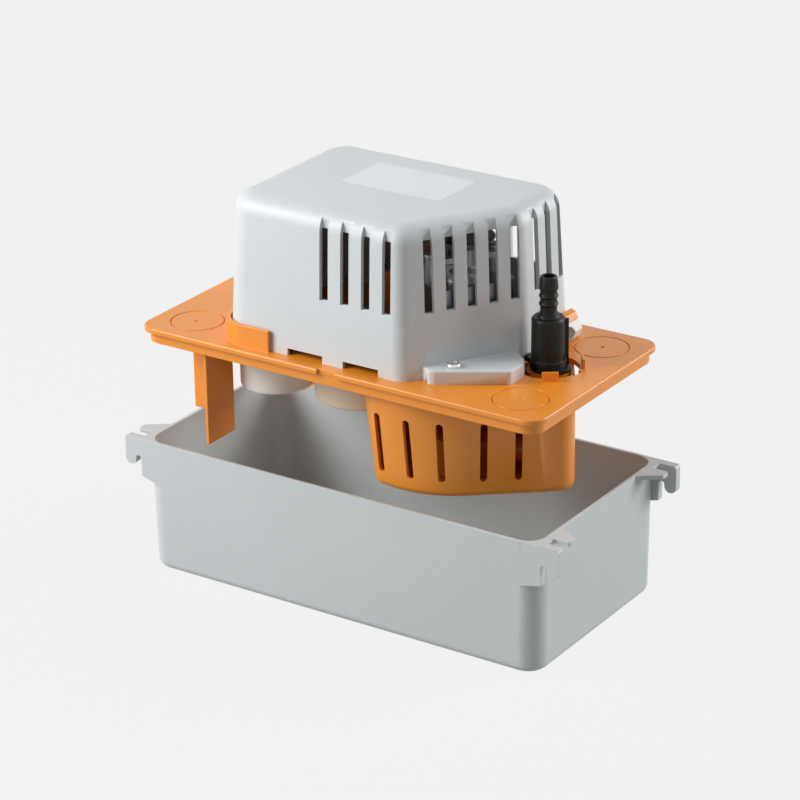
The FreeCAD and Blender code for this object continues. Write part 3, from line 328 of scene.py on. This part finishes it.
def moulded(name, colour, roughness, grain, **constants):
    """Thermoplastic from a textured mould: fine grain, with faint clouds in its colour and gloss."""
    finish = Finish(name, constants)
    cloud = finish.noise(scale=24.0, detail=3.0)
    flow = finish.noise(scale=170.0, detail=3.0)
    fine = finish.noise(scale=2600.0, detail=2.0)
    finish.cloudy(colour, spread=0.045, share=cloud * 0.9 + flow * 0.4 - 0.15)
    finish.rough(roughness - 0.09 + flow * 0.12 + fine * 0.06)
    finish.relief(fine + cloud * 4.0, grain)
    return finish.material


def foam(name, colour):
    """Closed-cell float foam with a skin: soft speckle and shallow pores."""
    finish = Finish(name, {"Specular IOR Level": 0.35})
    cells = finish.pores(scale=900.0)
    cloud = finish.noise(scale=60.0, detail=3.0)
    finish.cloudy(colour, spread=0.08, share=cloud * 0.7 + cells * 0.5 - 0.1)
    finish.rough(0.52 + cells * 0.2)
    finish.relief(cells + cloud, 0.08 * MILLIMETRE)
    return finish.material


def metal(name, colour, roughness, scale, grain, **constants):
    """Bare or plated metal whose gloss and colour vary with its surface."""
    finish = Finish(name, {"Metallic": 1.0, **constants})
    patch = finish.noise(scale, detail=4.0)
    fine = finish.noise(scale * 9.0, detail=2.0)
    finish.cloudy(colour, spread=0.14, share=patch * 1.3 - 0.15)
    finish.rough(roughness - 0.06 + patch * 0.16)
    finish.relief(fine + patch * 2.0, grain)
    return finish.material


def bright_metal(name, colour, roughness, scale):
    """Metal that is smooth to the touch, with only the finest grain."""
    return metal(name, colour, roughness, scale, 0.01 * MILLIMETRE)


def smooth_plastic(name, colour, roughness, **constants):
    """Plain polished plastic for the small inner pieces."""
    finish = Finish(name, constants)
    cloud = finish.noise(scale=90.0, detail=3.0)
    finish.cloudy(colour, spread=0.06, share=cloud)
    finish.rough(roughness - 0.05 + cloud * 0.1)
    finish.relief(cloud, 0.06 * MILLIMETRE)
    return finish.material


def black_rubber(name):
    return smooth_plastic(name, (0.03, 0.03, 0.03), 0.6)


def orange_plastic(settings):
    """The slightly waxy plastic of the plate, basket, casing and hood, made once."""
    found = bpy.data.materials.get("Orange plastic")
    if found:
        return found
    wax = {
        "Subsurface Weight": 0.12,
        "Subsurface Scale": 3.0 * MILLIMETRE,
        "Subsurface Radius": (1.0, 0.35, 0.12),
        "Coat Weight": 0.4,
        "Coat Roughness": 0.3,
    }
    return moulded("Orange plastic", settings.colour, 0.4, 0.015 * MILLIMETRE, **wax)


def painted(node, material):
    """A CAD node that keeps its own mesh and takes a finish."""
    mesh = frame["nodes"][node].data
    mesh.materials.clear()
    mesh.materials.append(material)


def add_object(name, mesh, material):
    piece = bpy.data.objects.new(name, mesh)
    bpy.context.scene.collection.objects.link(piece)
    mesh.materials.clear()
    mesh.materials.append(material)
    return piece


def made_from(work, name, material):
    """A new piece with the form in work, which is used up."""
    mesh = bpy.data.meshes.new(name)
    work.to_mesh(mesh)
    work.free()
    return add_object(name, mesh, material)


def settled(piece):
    """Turns a piece's modifiers into its own mesh and drops them."""
    graph = bpy.context.evaluated_depsgraph_get()
    mesh = bpy.data.meshes.new_from_object(piece.evaluated_get(graph))
    mesh.name = piece.name
    piece.modifiers.clear()
    piece.data = mesh
    return piece


def mounted(piece, body, slot, *nodes):
    """Sets a piece on its body, in place of the nodes that it stands for. The slot is not used."""
    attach(piece, body)
    if nodes:
        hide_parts(*nodes)


def body_of(node):
    return frame["nodes"][node]["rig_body"]


def merged_copy(node, flat_whole=True):
    """A CAD node's surface as one joined mesh, with its flat faces made whole where that is asked."""
    work = bmesh.new()
    work.from_mesh(frame["nodes"][node].data)
    bmesh.ops.remove_doubles(work, verts=work.verts, dist=SAME_POINT)
    if flat_whole:
        bmesh.ops.dissolve_limit(work, angle_limit=FLAT_ANGLE, verts=work.verts, edges=work.edges)
    return work


def dressed(node, name, material, slot, edge):
    """A piece on a CAD node's own form. Its sharp edges are rounded by edge, or kept where edge is 0."""
    piece = made_from(merged_copy(node, edge > 0), name, material)
    mesh = piece.data
    mesh.polygons.foreach_set("use_smooth", [True] * len(mesh.polygons))
    if edge > 0:
        bevel = piece.modifiers.new("Rounded edges", "BEVEL")
        bevel.limit_method = "ANGLE"
        bevel.angle_limit = SHARP_ANGLE
        bevel.width = edge
        bevel.segments = 2
        bevel.use_clamp_overlap = False
    else:
        mesh.set_sharp_from_angle(angle=SHARP_ANGLE)
    weighted = piece.modifiers.new("Even shading", "WEIGHTED_NORMAL")
    weighted.weight = 80
    weighted.keep_sharp = True
    mounted(settled(piece), body_of(node), slot, node)


def lathe(name, centre, profile, material, steps):
    """A turned form about an upright axis, from (radius, height) points.

    A profile that doesn't start on the axis closes on itself round a bore.
    """
    work = bmesh.new()
    rings = []
    for radius, height in profile:
        if radius == 0:
            rings.append([work.verts.new((centre.x, centre.y, height))])
            continue
        ring = []
        for step in range(steps):
            angle = 2 * math.pi * step / steps
            x = centre.x + radius * math.cos(angle)
            y = centre.y + radius * math.sin(angle)
            ring.append(work.verts.new((x, y, height)))
        rings.append(ring)
    pairs = list(zip(rings, rings[1:]))
    if profile[0][0] > 0:
        pairs.append((rings[-1], rings[0]))
    for lower, upper in pairs:
        for step in range(steps):
            follow = (step + 1) % steps
            if len(lower) == 1:
                work.faces.new((lower[0], upper[follow], upper[step]))
            elif len(upper) == 1:
                work.faces.new((lower[step], lower[follow], upper[0]))
            else:
                work.faces.new((lower[step], lower[follow], upper[follow], upper[step]))
    bmesh.ops.recalc_face_normals(work, faces=work.faces)
    piece = made_from(work, name, material)
    piece.data.shade_smooth()
    piece.data.set_sharp_from_angle(angle=TURNED_SHARP_ANGLE)
    return piece


def copies_tree(name, round_axis):
    """Geometry nodes that repeat a form, along a line by a step or round the upright axis at its origin."""
    group = bpy.data.node_groups.new(name, "GeometryNodeTree")
    sockets = {"Form": "Geometry", "Count": "Int", "Step": "Vector", "Centre": "Vector", "Finish": "Material"}
    for label, kind in sockets.items():
        group.interface.new_socket(label, in_out="INPUT", socket_type="NodeSocket" + kind)
    group.interface.new_socket("Copies", in_out="OUTPUT", socket_type="NodeSocketGeometry")
    tree = Tree(group)
    entry = group.nodes.new("NodeGroupInput")
    given = {socket.name: Value(tree, socket) for socket in entry.outputs if socket.name}
    line = {"Count": given["Count"], "Offset": given["Step"], "Start Location": given["Centre"]}
    points = tree.node("GeometryNodeMeshLine", {"mode": "OFFSET"}, line)
    inputs = {"Points": points, "Instance": given["Form"]}
    if round_axis:
        angle = tree.node("GeometryNodeInputIndex") * (2 * math.pi / given["Count"])
        inputs["Rotation"] = tree.node("ShaderNodeCombineXYZ", {}, {"Z": angle})
    placed = tree.node("GeometryNodeInstanceOnPoints", {}, inputs)
    real = tree.node("GeometryNodeRealizeInstances", {}, {0: placed})
    coloured = tree.node("GeometryNodeSetMaterial", {}, {"Geometry": real, "Material": given["Finish"]})
    tree.feed(group.nodes.new("NodeGroupOutput").inputs[0], coloured)
    return group


def repeated(name, work, material, count, step, centre, round_axis=False):
    """A piece made of count copies of the form in work, which is drawn about the origin."""
    piece = made_from(work, name, material)
    kind = "Copies round an axis" if round_axis else "Copies along a line"
    group = bpy.data.node_groups.get(kind) or copies_tree(kind, round_axis)
    modifier = piece.modifiers.new("Copies", "NODES")
    modifier.node_group = group
    values = {"Count": count, "Step": step, "Centre": centre, "Finish": material}
    for item in group.interface.items_tree:
        if item.in_out == "INPUT" and item.name in values:
            modifier[item.identifier] = values[item.name]
    return settled(piece)


def joined(first, second):
    """One mesh out of two pieces, kept under the first one's name."""
    work = bmesh.new()
    for piece in (first, second):
        work.from_mesh(piece.data)
    work.to_mesh(first.data)
    work.free()
    bpy.data.objects.remove(second)
    return first


def shaft_axis():
    """A point on the motor's upright shaft."""
    joint = next(joint for joint in frame["joints"] if joint["name"] == "motor_spin")
    return Vector(joint["pos_m"])


def lamp(name, place, target, width, power):
    """A square lamp with its face towards target."""
    data = bpy.data.lights.new(name, "AREA")
    data.shape = "SQUARE"
    data.size = width
    data.energy = power
    light = bpy.data.objects.new(name, data)
    light.location = place
    light.rotation_euler = (target - Vector(place)).to_track_quat("-Z", "Y").to_euler()
    bpy.context.scene.collection.objects.link(light)


def seen_directly(tree):
    """1 for the camera's rays and for reflected or refracted ones, 0 for the light that reaches a surface."""
    camera = tree.node("ShaderNodeLightPath", output="Is Camera Ray")
    glossy = tree.node("ShaderNodeLightPath", output="Is Glossy Ray")
    passed = tree.node("ShaderNodeLightPath", output="Is Transmission Ray")
    return (camera + glossy + passed).clipped()


class PUMP_OT_stage(Operator):
    """Lay the pale floor, light the studio and set up the camera."""
    bl_idname = "condensate_pump.stage"
    bl_label = "Stage"

    def execute(self, context):
        studio = context.scene.pump_studio
        self.lay_floor(studio)
        self.surround(context.scene, studio)
        target = Vector(studio.target)
        lamp("Key lamp", KEY_PLACE, target, KEY_WIDTH, studio.key_power)
        lamp("Side lamp", SIDE_PLACE, target, SIDE_WIDTH, studio.side_power)
        lamp("Fill lamp", FILL_PLACE, target, FILL_WIDTH, studio.fill_power)
        self.aim_camera(context.scene, studio, target)
        context.scene.view_settings.view_transform = "Standard"
        return {"FINISHED"}

    def lay_floor(self, studio):
        half = FLOOR_HALF
        under = -FLOOR_DROP
        corners = [(-half, -half, under), (half, -half, under), (half, half, under), (-half, half, under)]
        mesh = bpy.data.meshes.new("Floor")
        mesh.from_pydata(corners, [], [(0, 1, 2, 3)])
        material = bpy.data.materials.new("Floor")
        material.use_nodes = True
        tree = Tree(material.node_tree)
        tree.nodes.clear()
        bright = [channel * BACKDROP_GAIN for channel in studio.backdrop]
        lit = tree.node("ShaderNodeBsdfDiffuse", {}, {"Color": (FLOOR_GREY, FLOOR_GREY, FLOOR_GREY, 1.0)})
        shown = tree.node("ShaderNodeEmission", {}, {"Color": (*bright, 1.0), "Strength": 1.0})
        share = seen_directly(tree) * BACKDROP_SHARE
        surface = tree.node("ShaderNodeMixShader", {}, {0: share, 1: lit, 2: shown})
        tree.feed(tree.nodes.new("ShaderNodeOutputMaterial").inputs["Surface"], surface)
        add_object("Floor", mesh, material)

    def surround(self, scene, studio):
        """White light from all round, which the camera sees as the backdrop's colour."""
        scene.world = bpy.data.worlds.new("Studio")
        scene.world.use_nodes = True
        tree = Tree(scene.world.node_tree)
        tree.nodes.clear()
        white = {"Color": (1.0, 1.0, 1.0, 1.0), "Strength": studio.ambient}
        ambient = tree.node("ShaderNodeBackground", {}, white)
        shown = tree.node("ShaderNodeBackground", {}, {"Color": (*studio.backdrop, 1.0), "Strength": 1.0})
        surface = tree.node("ShaderNodeMixShader", {}, {0: seen_directly(tree), 1: ambient, 2: shown})
        tree.feed(tree.nodes.new("ShaderNodeOutputWorld").inputs["Surface"], surface)

    def aim_camera(self, scene, studio, target):
        level = math.cos(studio.elevation)
        back = Vector((math.sin(studio.azimuth) * level, -math.cos(studio.azimuth) * level,
                       math.sin(studio.elevation)))
        data = bpy.data.cameras.new("Camera")
        data.lens = studio.lens
        data.sensor_width = SENSOR_WIDTH
        data.clip_start = NEAREST_SEEN
        camera = bpy.data.objects.new("Camera", data)
        camera.location = target + back * studio.distance
        aim = (-back).to_track_quat("-Z", "Y") @ Quaternion((0, 0, 1), studio.roll)
        camera.rotation_euler = aim.to_euler()
        scene.collection.objects.link(camera)
        scene.camera = camera


class PUMP_OT_tank(Operator):
    """Dress the collection tank with its hooks and shelves."""
    bl_idname = "condensate_pump.tank"
    bl_label = "Collection tank"

    def execute(self, context):
        settings = context.scene.pump_tank
        plastic = moulded("Tank plastic", settings.colour, 0.42, 0.02 * MILLIMETRE)
        dressed("tank", "tank_moulding", plastic, "tank_grey", settings.edge)
        return {"FINISHED"}


class PUMP_OT_base_plate(Operator):
    """Dress the base plate with its inlet knockouts, curb and legs."""
    bl_idname = "condensate_pump.base_plate"
    bl_label = "Base plate"

    def execute(self, context):
        settings = context.scene.pump_head
        dressed("base_plate", "base_plate_moulding", orange_plastic(settings), "plate_orange", settings.edge)
        return {"FINISHED"}


class PUMP_OT_basket(Operator):
    """Dress the strainer basket that hangs under the plate."""
    bl_idname = "condensate_pump.basket"
    bl_label = "Strainer basket"

    def execute(self, context):
        orange = orange_plastic(context.scene.pump_head)
        dressed("strainer_basket", "basket_moulding", orange, "plate_orange", 0)
        return {"FINISHED"}


class PUMP_OT_cover(Operator):
    """Dress the ventilated cover, its bare label and its screw."""
    bl_idname = "condensate_pump.cover"
    bl_label = "Cover"

    def execute(self, context):
        settings = context.scene.pump_cover
        plastic = moulded("Cover plastic", settings.colour, 0.44, 0.02 * MILLIMETRE)
        dressed("pump_cover", "cover_moulding", plastic, "cover_grey", 0)
        self.gate_mark(settings.gate_radius, plastic)
        film = smooth_plastic("Label film", settings.label_colour, 0.38, **{"Coat Weight": 0.15})
        dressed("cover_label", "bare_label", film, "label_white", 0.04 * MILLIMETRE)
        zinc = bright_metal("Bright zinc", (0.72, 0.73, 0.75), 0.24, 700.0)
        dressed("cover_screw", "cover_pan_screw", zinc, "steel", 0.12 * MILLIMETRE)
        return {"FINISHED"}

    def gate_mark(self, radius, plastic):
        """A low ring on the cover's top, with a thin skin inside it."""
        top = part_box("pump_cover")[1].z
        low = top - GATE_SINK
        skin = top + GATE_SKIN
        crest = top + GATE_CREST
        outside = [(0, low), (radius, low), (radius, skin), (radius * GATE_OUTER_SLOPE, crest)]
        inside = [(radius * GATE_INNER_SLOPE, crest), (radius * GATE_INNER_FOOT, skin), (0, skin)]
        centre = Vector((GATE_X, GATE_Y, 0.0))
        ring = lathe("cover_gate_mark", centre, outside + inside, plastic, GATE_STEPS)
        mounted(ring, body_of("pump_cover"), "cover_grey")


class PUMP_OT_check_valve(Operator):
    """Dress the quarter-turn check valve with its barbed nozzle, seat, ball and O-ring."""
    bl_idname = "condensate_pump.check_valve"
    bl_label = "Check valve"

    def execute(self, context):
        settings = context.scene.pump_valve
        dull = {"Specular IOR Level": 0.25}
        black = moulded("Valve plastic", settings.colour, 0.36, 0.015 * MILLIMETRE, **dull)
        dressed("valve_body", "valve_moulding", black, "valve_black", settings.edge)
        painted("valve_o_ring", black_rubber("Seal rubber"))
        painted("valve_seat", black)
        painted("valve_ball", bright_metal("Valve ball steel", (0.6, 0.6, 0.62), 0.2, 300.0))
        return {"FINISHED"}


class PUMP_OT_floats(Operator):
    """Dress the two floats and their stems."""
    bl_idname = "condensate_pump.floats"
    bl_label = "Floats"

    def execute(self, context):
        settings = context.scene.pump_floats
        beige = foam("Run float foam", settings.run_colour)
        dressed("run_float", "run_float_body", beige, "float_beige", settings.edge)
        painted("run_float_stem", beige)
        white = foam("Alarm float foam", settings.alarm_colour)
        dressed("alarm_float", "alarm_float_body", white, "float_white", settings.edge)
        painted("alarm_float_stem", white)
        return {"FINISHED"}


class PUMP_OT_switches(Operator):
    """Dress the two float switches with their levers, plungers and screws."""
    bl_idname = "condensate_pump.switches"
    bl_label = "Float switches"

    def execute(self, context):
        case = smooth_plastic("Switch case", (0.045, 0.045, 0.05), 0.42)
        plunger = smooth_plastic("Switch plunger", (0.6, 0.08, 0.06), 0.3)
        steel = bright_metal("Spring steel", (0.58, 0.59, 0.6), 0.28, 400.0)
        for kind in ("run", "alarm"):
            painted(kind + "_switch", case)
            painted(kind + "_switch_lever", steel)
            painted(kind + "_switch_plunger", plunger)
        painted("switch_screws", steel)
        return {"FINISHED"}


class PUMP_OT_stator(Operator):
    """Build the motor's laminated stack and wound coil, and dress its brackets and bolts."""
    bl_idname = "condensate_pump.stator"
    bl_label = "Motor stator"

    def execute(self, context):
        settings = context.scene.pump_motor
        self.stack(settings)
        self.winding(settings)
        painted("coil_bobbin", smooth_plastic("Bobbin plastic", (0.035, 0.036, 0.038), 0.4))
        cast = metal("Die-cast alloy", (0.42, 0.43, 0.45), 0.4, 350.0, 0.04 * MILLIMETRE)
        bronze = metal("Sintered bronze", (0.5, 0.36, 0.18), 0.45, 900.0, 0.03 * MILLIMETRE)
        for place in ("top", "lower"):
            painted(place + "_bearing_bracket", cast)
            painted(place + "_bearing", bronze)
        painted("motor_bolts", bright_metal("Bolt steel", (0.55, 0.56, 0.58), 0.3, 500.0))
        painted("shading_rings", bright_metal("Bare copper", settings.copper, 0.3, 500.0))
        return {"FINISHED"}

    def stack(self, settings):
        """One sheet is the stack's top face with a sheet's thickness, repeated downwards."""
        low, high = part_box("stator_stack")
        pitch = (high.z - low.z) / settings.sheets
        work = merged_copy("stator_stack")
        lower = [face for face in work.faces if face.normal.z < TOP_FACING]
        bmesh.ops.delete(work, geom=lower, context="FACES")
        grown = bmesh.ops.extrude_face_region(work, geom=list(work.faces), use_keep_orig=True)
        moved = [item for item in grown["geom"] if isinstance(item, bmesh.types.BMVert)]
        bmesh.ops.translate(work, verts=moved, vec=Vector((0, 0, settings.sheet_gap - pitch)))
        bmesh.ops.recalc_face_normals(work, faces=work.faces)
        sheet_steel = metal("Lamination steel", (0.24, 0.25, 0.27), 0.42, 260.0, 0.03 * MILLIMETRE)
        piece = repeated("lamination_stack", work, sheet_steel, settings.sheets, (0, 0, -pitch), (0, 0, 0))
        mounted(piece, body_of("stator_stack"), "lamination_steel", "stator_stack")

    def winding(self, settings):
        """Turns of wire side by side round a core, which is the CAD's coil less half a wire all round."""
        axis = shaft_axis()
        into_motor = Matrix.Rotation(-settings.turn, 4, "Z") @ Matrix.Translation((-axis.x, -axis.y, 0))
        out_of_motor = into_motor.inverted()
        work = merged_copy("coil_winding")
        work.transform(into_motor)
        lows = [min(vert.co[i] for vert in work.verts) for i in range(3)]
        highs = [max(vert.co[i] for vert in work.verts) for i in range(3)]
        middle = Vector([(low + high) / 2 for low, high in zip(lows, highs)])
        radius = settings.wire / 2
        for vert in work.verts:
            for i in (1, 2):
                reach = (highs[i] - lows[i]) / 2
                vert.co[i] = middle[i] + (vert.co[i] - middle[i]) * (reach - radius) / reach
        work.transform(out_of_motor)
        enamel = {"Coat Weight": 0.6}
        copper = metal("Enamelled wire", settings.copper, 0.3, 500.0, 0.01 * MILLIMETRE, **enamel)
        core = made_from(work, "coil_winding_core", copper)
        half_y = (highs[1] - lows[1]) / 2 - radius
        half_z = (highs[2] - lows[2]) / 2 - radius
        turn = self.wire_turn(half_y, half_z, radius)
        direction = out_of_motor.to_3x3()
        turn.transform(direction.to_4x4())
        count = int((highs[0] - lows[0]) / settings.wire)
        step = (highs[0] - lows[0] - settings.wire) / (count - 1)
        along = direction @ Vector((step, 0, 0))
        start = out_of_motor @ Vector((lows[0] + radius, middle.y, middle.z))
        turns = repeated("winding_turns", turn, copper, count, along, start)
        turns.data.shade_smooth()
        mounted(joined(core, turns), body_of("coil_winding"), "copper", "coil_winding")

    def wire_turn(self, half_y, half_z, radius):
        """One turn of round wire about the X axis, along a rectangle with rounded corners."""
        turn = bmesh.new()
        loops = []
        for sign_y, sign_z, start in ((1, 1, 0), (-1, 1, 90), (-1, -1, 180), (1, -1, 270)):
            y = sign_y * (half_y - COIL_CORNER)
            z = sign_z * (half_z - COIL_CORNER)
            for step in range(COIL_CORNER_STEPS + 1):
                angle = math.radians(start + 90 * step / COIL_CORNER_STEPS)
                loop = []
                for side in range(WIRE_SIDES):
                    around = 2 * math.pi * side / WIRE_SIDES
                    out = COIL_CORNER + radius * math.cos(around)
                    place = (radius * math.sin(around), y + out * math.cos(angle), z + out * math.sin(angle))
                    loop.append(turn.verts.new(place))
                loops.append(loop)
        for i, loop in enumerate(loops):
            after = loops[(i + 1) % len(loops)]
            for side in range(WIRE_SIDES):
                follow = (side + 1) % WIRE_SIDES
                turn.faces.new((loop[side], loop[follow], after[follow], after[side]))
        bmesh.ops.recalc_face_normals(turn, faces=turn.faces)
        return turn


class PUMP_OT_rotor(Operator):
    """Build the cooling fan and the impeller, and dress the shaft, rotor and slinger."""
    bl_idname = "condensate_pump.rotor"
    bl_label = "Rotor, fan and impeller"

    def execute(self, context):
        settings = context.scene.pump_motor
        painted("motor_shaft", bright_metal("Shaft steel", (0.62, 0.63, 0.65), 0.22, 400.0))
        painted("rotor_core", metal("Rotor aluminium", (0.62, 0.62, 0.64), 0.34, 400.0, 0.02 * MILLIMETRE))
        painted("shaft_slinger", black_rubber("Slinger rubber"))
        grey = smooth_plastic("Fan plastic", (0.17, 0.18, 0.19), 0.42)
        low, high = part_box("cooling_fan")
        self.wheel("cooling_fan", "fan_wheel", grey, settings.fan_blades, settings.fan_sweep,
                   settings.blade, low.z, low.z + FAN_DISC, high.z)
        low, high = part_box("impeller")
        self.wheel("impeller", "impeller_wheel", grey, settings.impeller_blades, settings.impeller_sweep,
                   settings.blade * IMPELLER_THICKER, high.z - IMPELLER_DISC, high.z, low.z)
        return {"FINISHED"}

    def wheel(self, node, name, material, count, sweep, thick, disc_low, disc_high, tip):
        """A hub and its disc, with blades that reach from the disc to tip, in place of the CAD's wheel."""
        low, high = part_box(node)
        outer = (high.x - low.x) / 2
        axis = shaft_axis()
        wheel = lathe(name, axis, self.profile(outer, disc_low, disc_high, tip), material, WHEEL_STEPS)
        blade = self.blade(outer, sweep, thick, (disc_low + disc_high) / 2, tip)
        blades = repeated(name + "_blades", blade, material, count, (0, 0, 0), (axis.x, axis.y, 0), True)
        mounted(joined(wheel, blades), body_of(node), "fan_grey", node)

    def profile(self, outer, disc_low, disc_high, tip):
        """Half a section through a disc and its hub, which reaches from the disc to tip."""
        soft = WHEEL_EDGE
        disc = [(outer - soft, disc_low), (outer, disc_low + soft), (outer, disc_high - soft),
                (outer - soft, disc_high)]
        if tip > disc_low:
            hub = [(WHEEL_HUB, disc_high), (WHEEL_HUB, tip - soft), (WHEEL_HUB - soft, tip)]
            return [(WHEEL_BORE, disc_low), *disc, *hub, (WHEEL_BORE, tip)]
        hub = [(WHEEL_HUB - soft, tip), (WHEEL_HUB, tip + soft), (WHEEL_HUB, disc_low)]
        return [(WHEEL_BORE, tip), *hub, *disc, (WHEEL_BORE, disc_high)]

    def blade(self, outer, sweep, thick, heel, tip):
        """A blade along the X axis from the hub to near the rim, bent by sweep and thinner outwards."""
        blade = bmesh.new()
        inner = WHEEL_HUB - BLADE_IN_HUB
        reach = outer - inner - BLADE_FROM_RIM
        rim = tip - math.copysign(BLADE_FROM_TIP, tip - heel)
        columns = []
        for step in range(BLADE_STEPS + 1):
            share = step / BLADE_STEPS
            bend = sweep * share
            middle = Vector((inner + reach * share * math.cos(bend), reach * share * math.sin(bend), 0))
            across = Vector((-math.sin(2 * bend), math.cos(2 * bend), 0))
            side = across * thick / 2 * (1 - BLADE_TAPER * share)
            corners = []
            for offset, height in ((side, heel), (side, rim), (-side, rim), (-side, heel)):
                place = middle + offset
                corners.append(blade.verts.new((place.x, place.y, height)))
            columns.append(corners)
        for near, far in zip(columns, columns[1:]):
            for i in range(4):
                blade.faces.new((near[i], near[(i + 1) % 4], far[(i + 1) % 4], far[i]))
        blade.faces.new(columns[0])
        blade.faces.new(columns[-1])
        bmesh.ops.recalc_face_normals(blade, faces=blade.faces)
        return blade


class PUMP_OT_casing(Operator):
    """Dress the pump casing, its cover and the shaft seal."""
    bl_idname = "condensate_pump.casing"
    bl_label = "Pump casing"

    def execute(self, context):
        orange = orange_plastic(context.scene.pump_head)
        painted("volute_casing", orange)
        painted("volute_cover", orange)
        painted("shaft_seal", black_rubber("Shaft seal rubber"))
        return {"FINISHED"}


class PUMP_OT_terminals(Operator):
    """Dress the terminal block and its screws."""
    bl_idname = "condensate_pump.terminals"
    bl_label = "Terminals"

    def execute(self, context):
        painted("terminal_block", smooth_plastic("Terminal plastic", (0.16, 0.16, 0.165), 0.4))
        painted("terminal_screws", bright_metal("Terminal steel", (0.6, 0.61, 0.62), 0.3, 500.0))
        return {"FINISHED"}


class PUMP_OT_cord_inlet(Operator):
    """Dress the cord inlet's block and the hood over it."""
    bl_idname = "condensate_pump.cord_inlet"
    bl_label = "Cord inlet"

    def execute(self, context):
        settings = context.scene.pump_inlet
        pale = moulded("Inlet plastic", settings.colour, 0.4, 0.01 * MILLIMETRE)
        dressed("cord_grommet", "inlet_block", pale, "grommet_grey", settings.edge)
        orange = orange_plastic(context.scene.pump_head)
        dressed("cord_hood", "inlet_hood", orange, "plate_orange", settings.edge)
        return {"FINISHED"}


OPERATORS = (
    PUMP_OT_stage,
    PUMP_OT_tank,
    PUMP_OT_base_plate,
    PUMP_OT_basket,
    PUMP_OT_cover,
    PUMP_OT_check_valve,
    PUMP_OT_floats,
    PUMP_OT_switches,
    PUMP_OT_stator,
    PUMP_OT_rotor,
    PUMP_OT_casing,
    PUMP_OT_terminals,
    PUMP_OT_cord_inlet,
)

SETTINGS = {
    "pump_studio": StudioSettings,
    "pump_tank": TankSettings,
    "pump_head": HeadSettings,
    "pump_cover": CoverSettings,
    "pump_valve": ValveSettings,
    "pump_floats": FloatSettings,
    "pump_motor": MotorSettings,
    "pump_inlet": InletSettings,
}


class PUMP_PT_panel(Panel):
    """The sidebar's list of the pump's settings and pieces."""
    bl_idname = "PUMP_PT_panel"
    bl_label = "Condensate pump"
    bl_space_type = "VIEW_3D"
    bl_region_type = "UI"
    bl_category = "Condensate pump"

    def draw(self, context):
        for name, group in SETTINGS.items():
            column = self.layout.box().column()
            for key in group.__annotations__:
                column.prop(getattr(context.scene, name), key)
        for operator in OPERATORS:
            self.layout.operator(operator.bl_idname)


CLASSES = (*SETTINGS.values(), *OPERATORS, PUMP_PT_panel)


def register():
    for item in CLASSES:
        bpy.utils.register_class(item)
    for name, group in SETTINGS.items():
        setattr(bpy.types.Scene, name, PointerProperty(type=group))


def unregister():
    for name in SETTINGS:
        delattr(bpy.types.Scene, name)
    for item in reversed(CLASSES):
        bpy.utils.unregister_class(item)


def main():
    register()
    for operator in OPERATORS:
        name = operator.bl_idname.split(".")[1]
        getattr(bpy.ops.condensate_pump, name)()


if __name__ == "__main__":
    main()
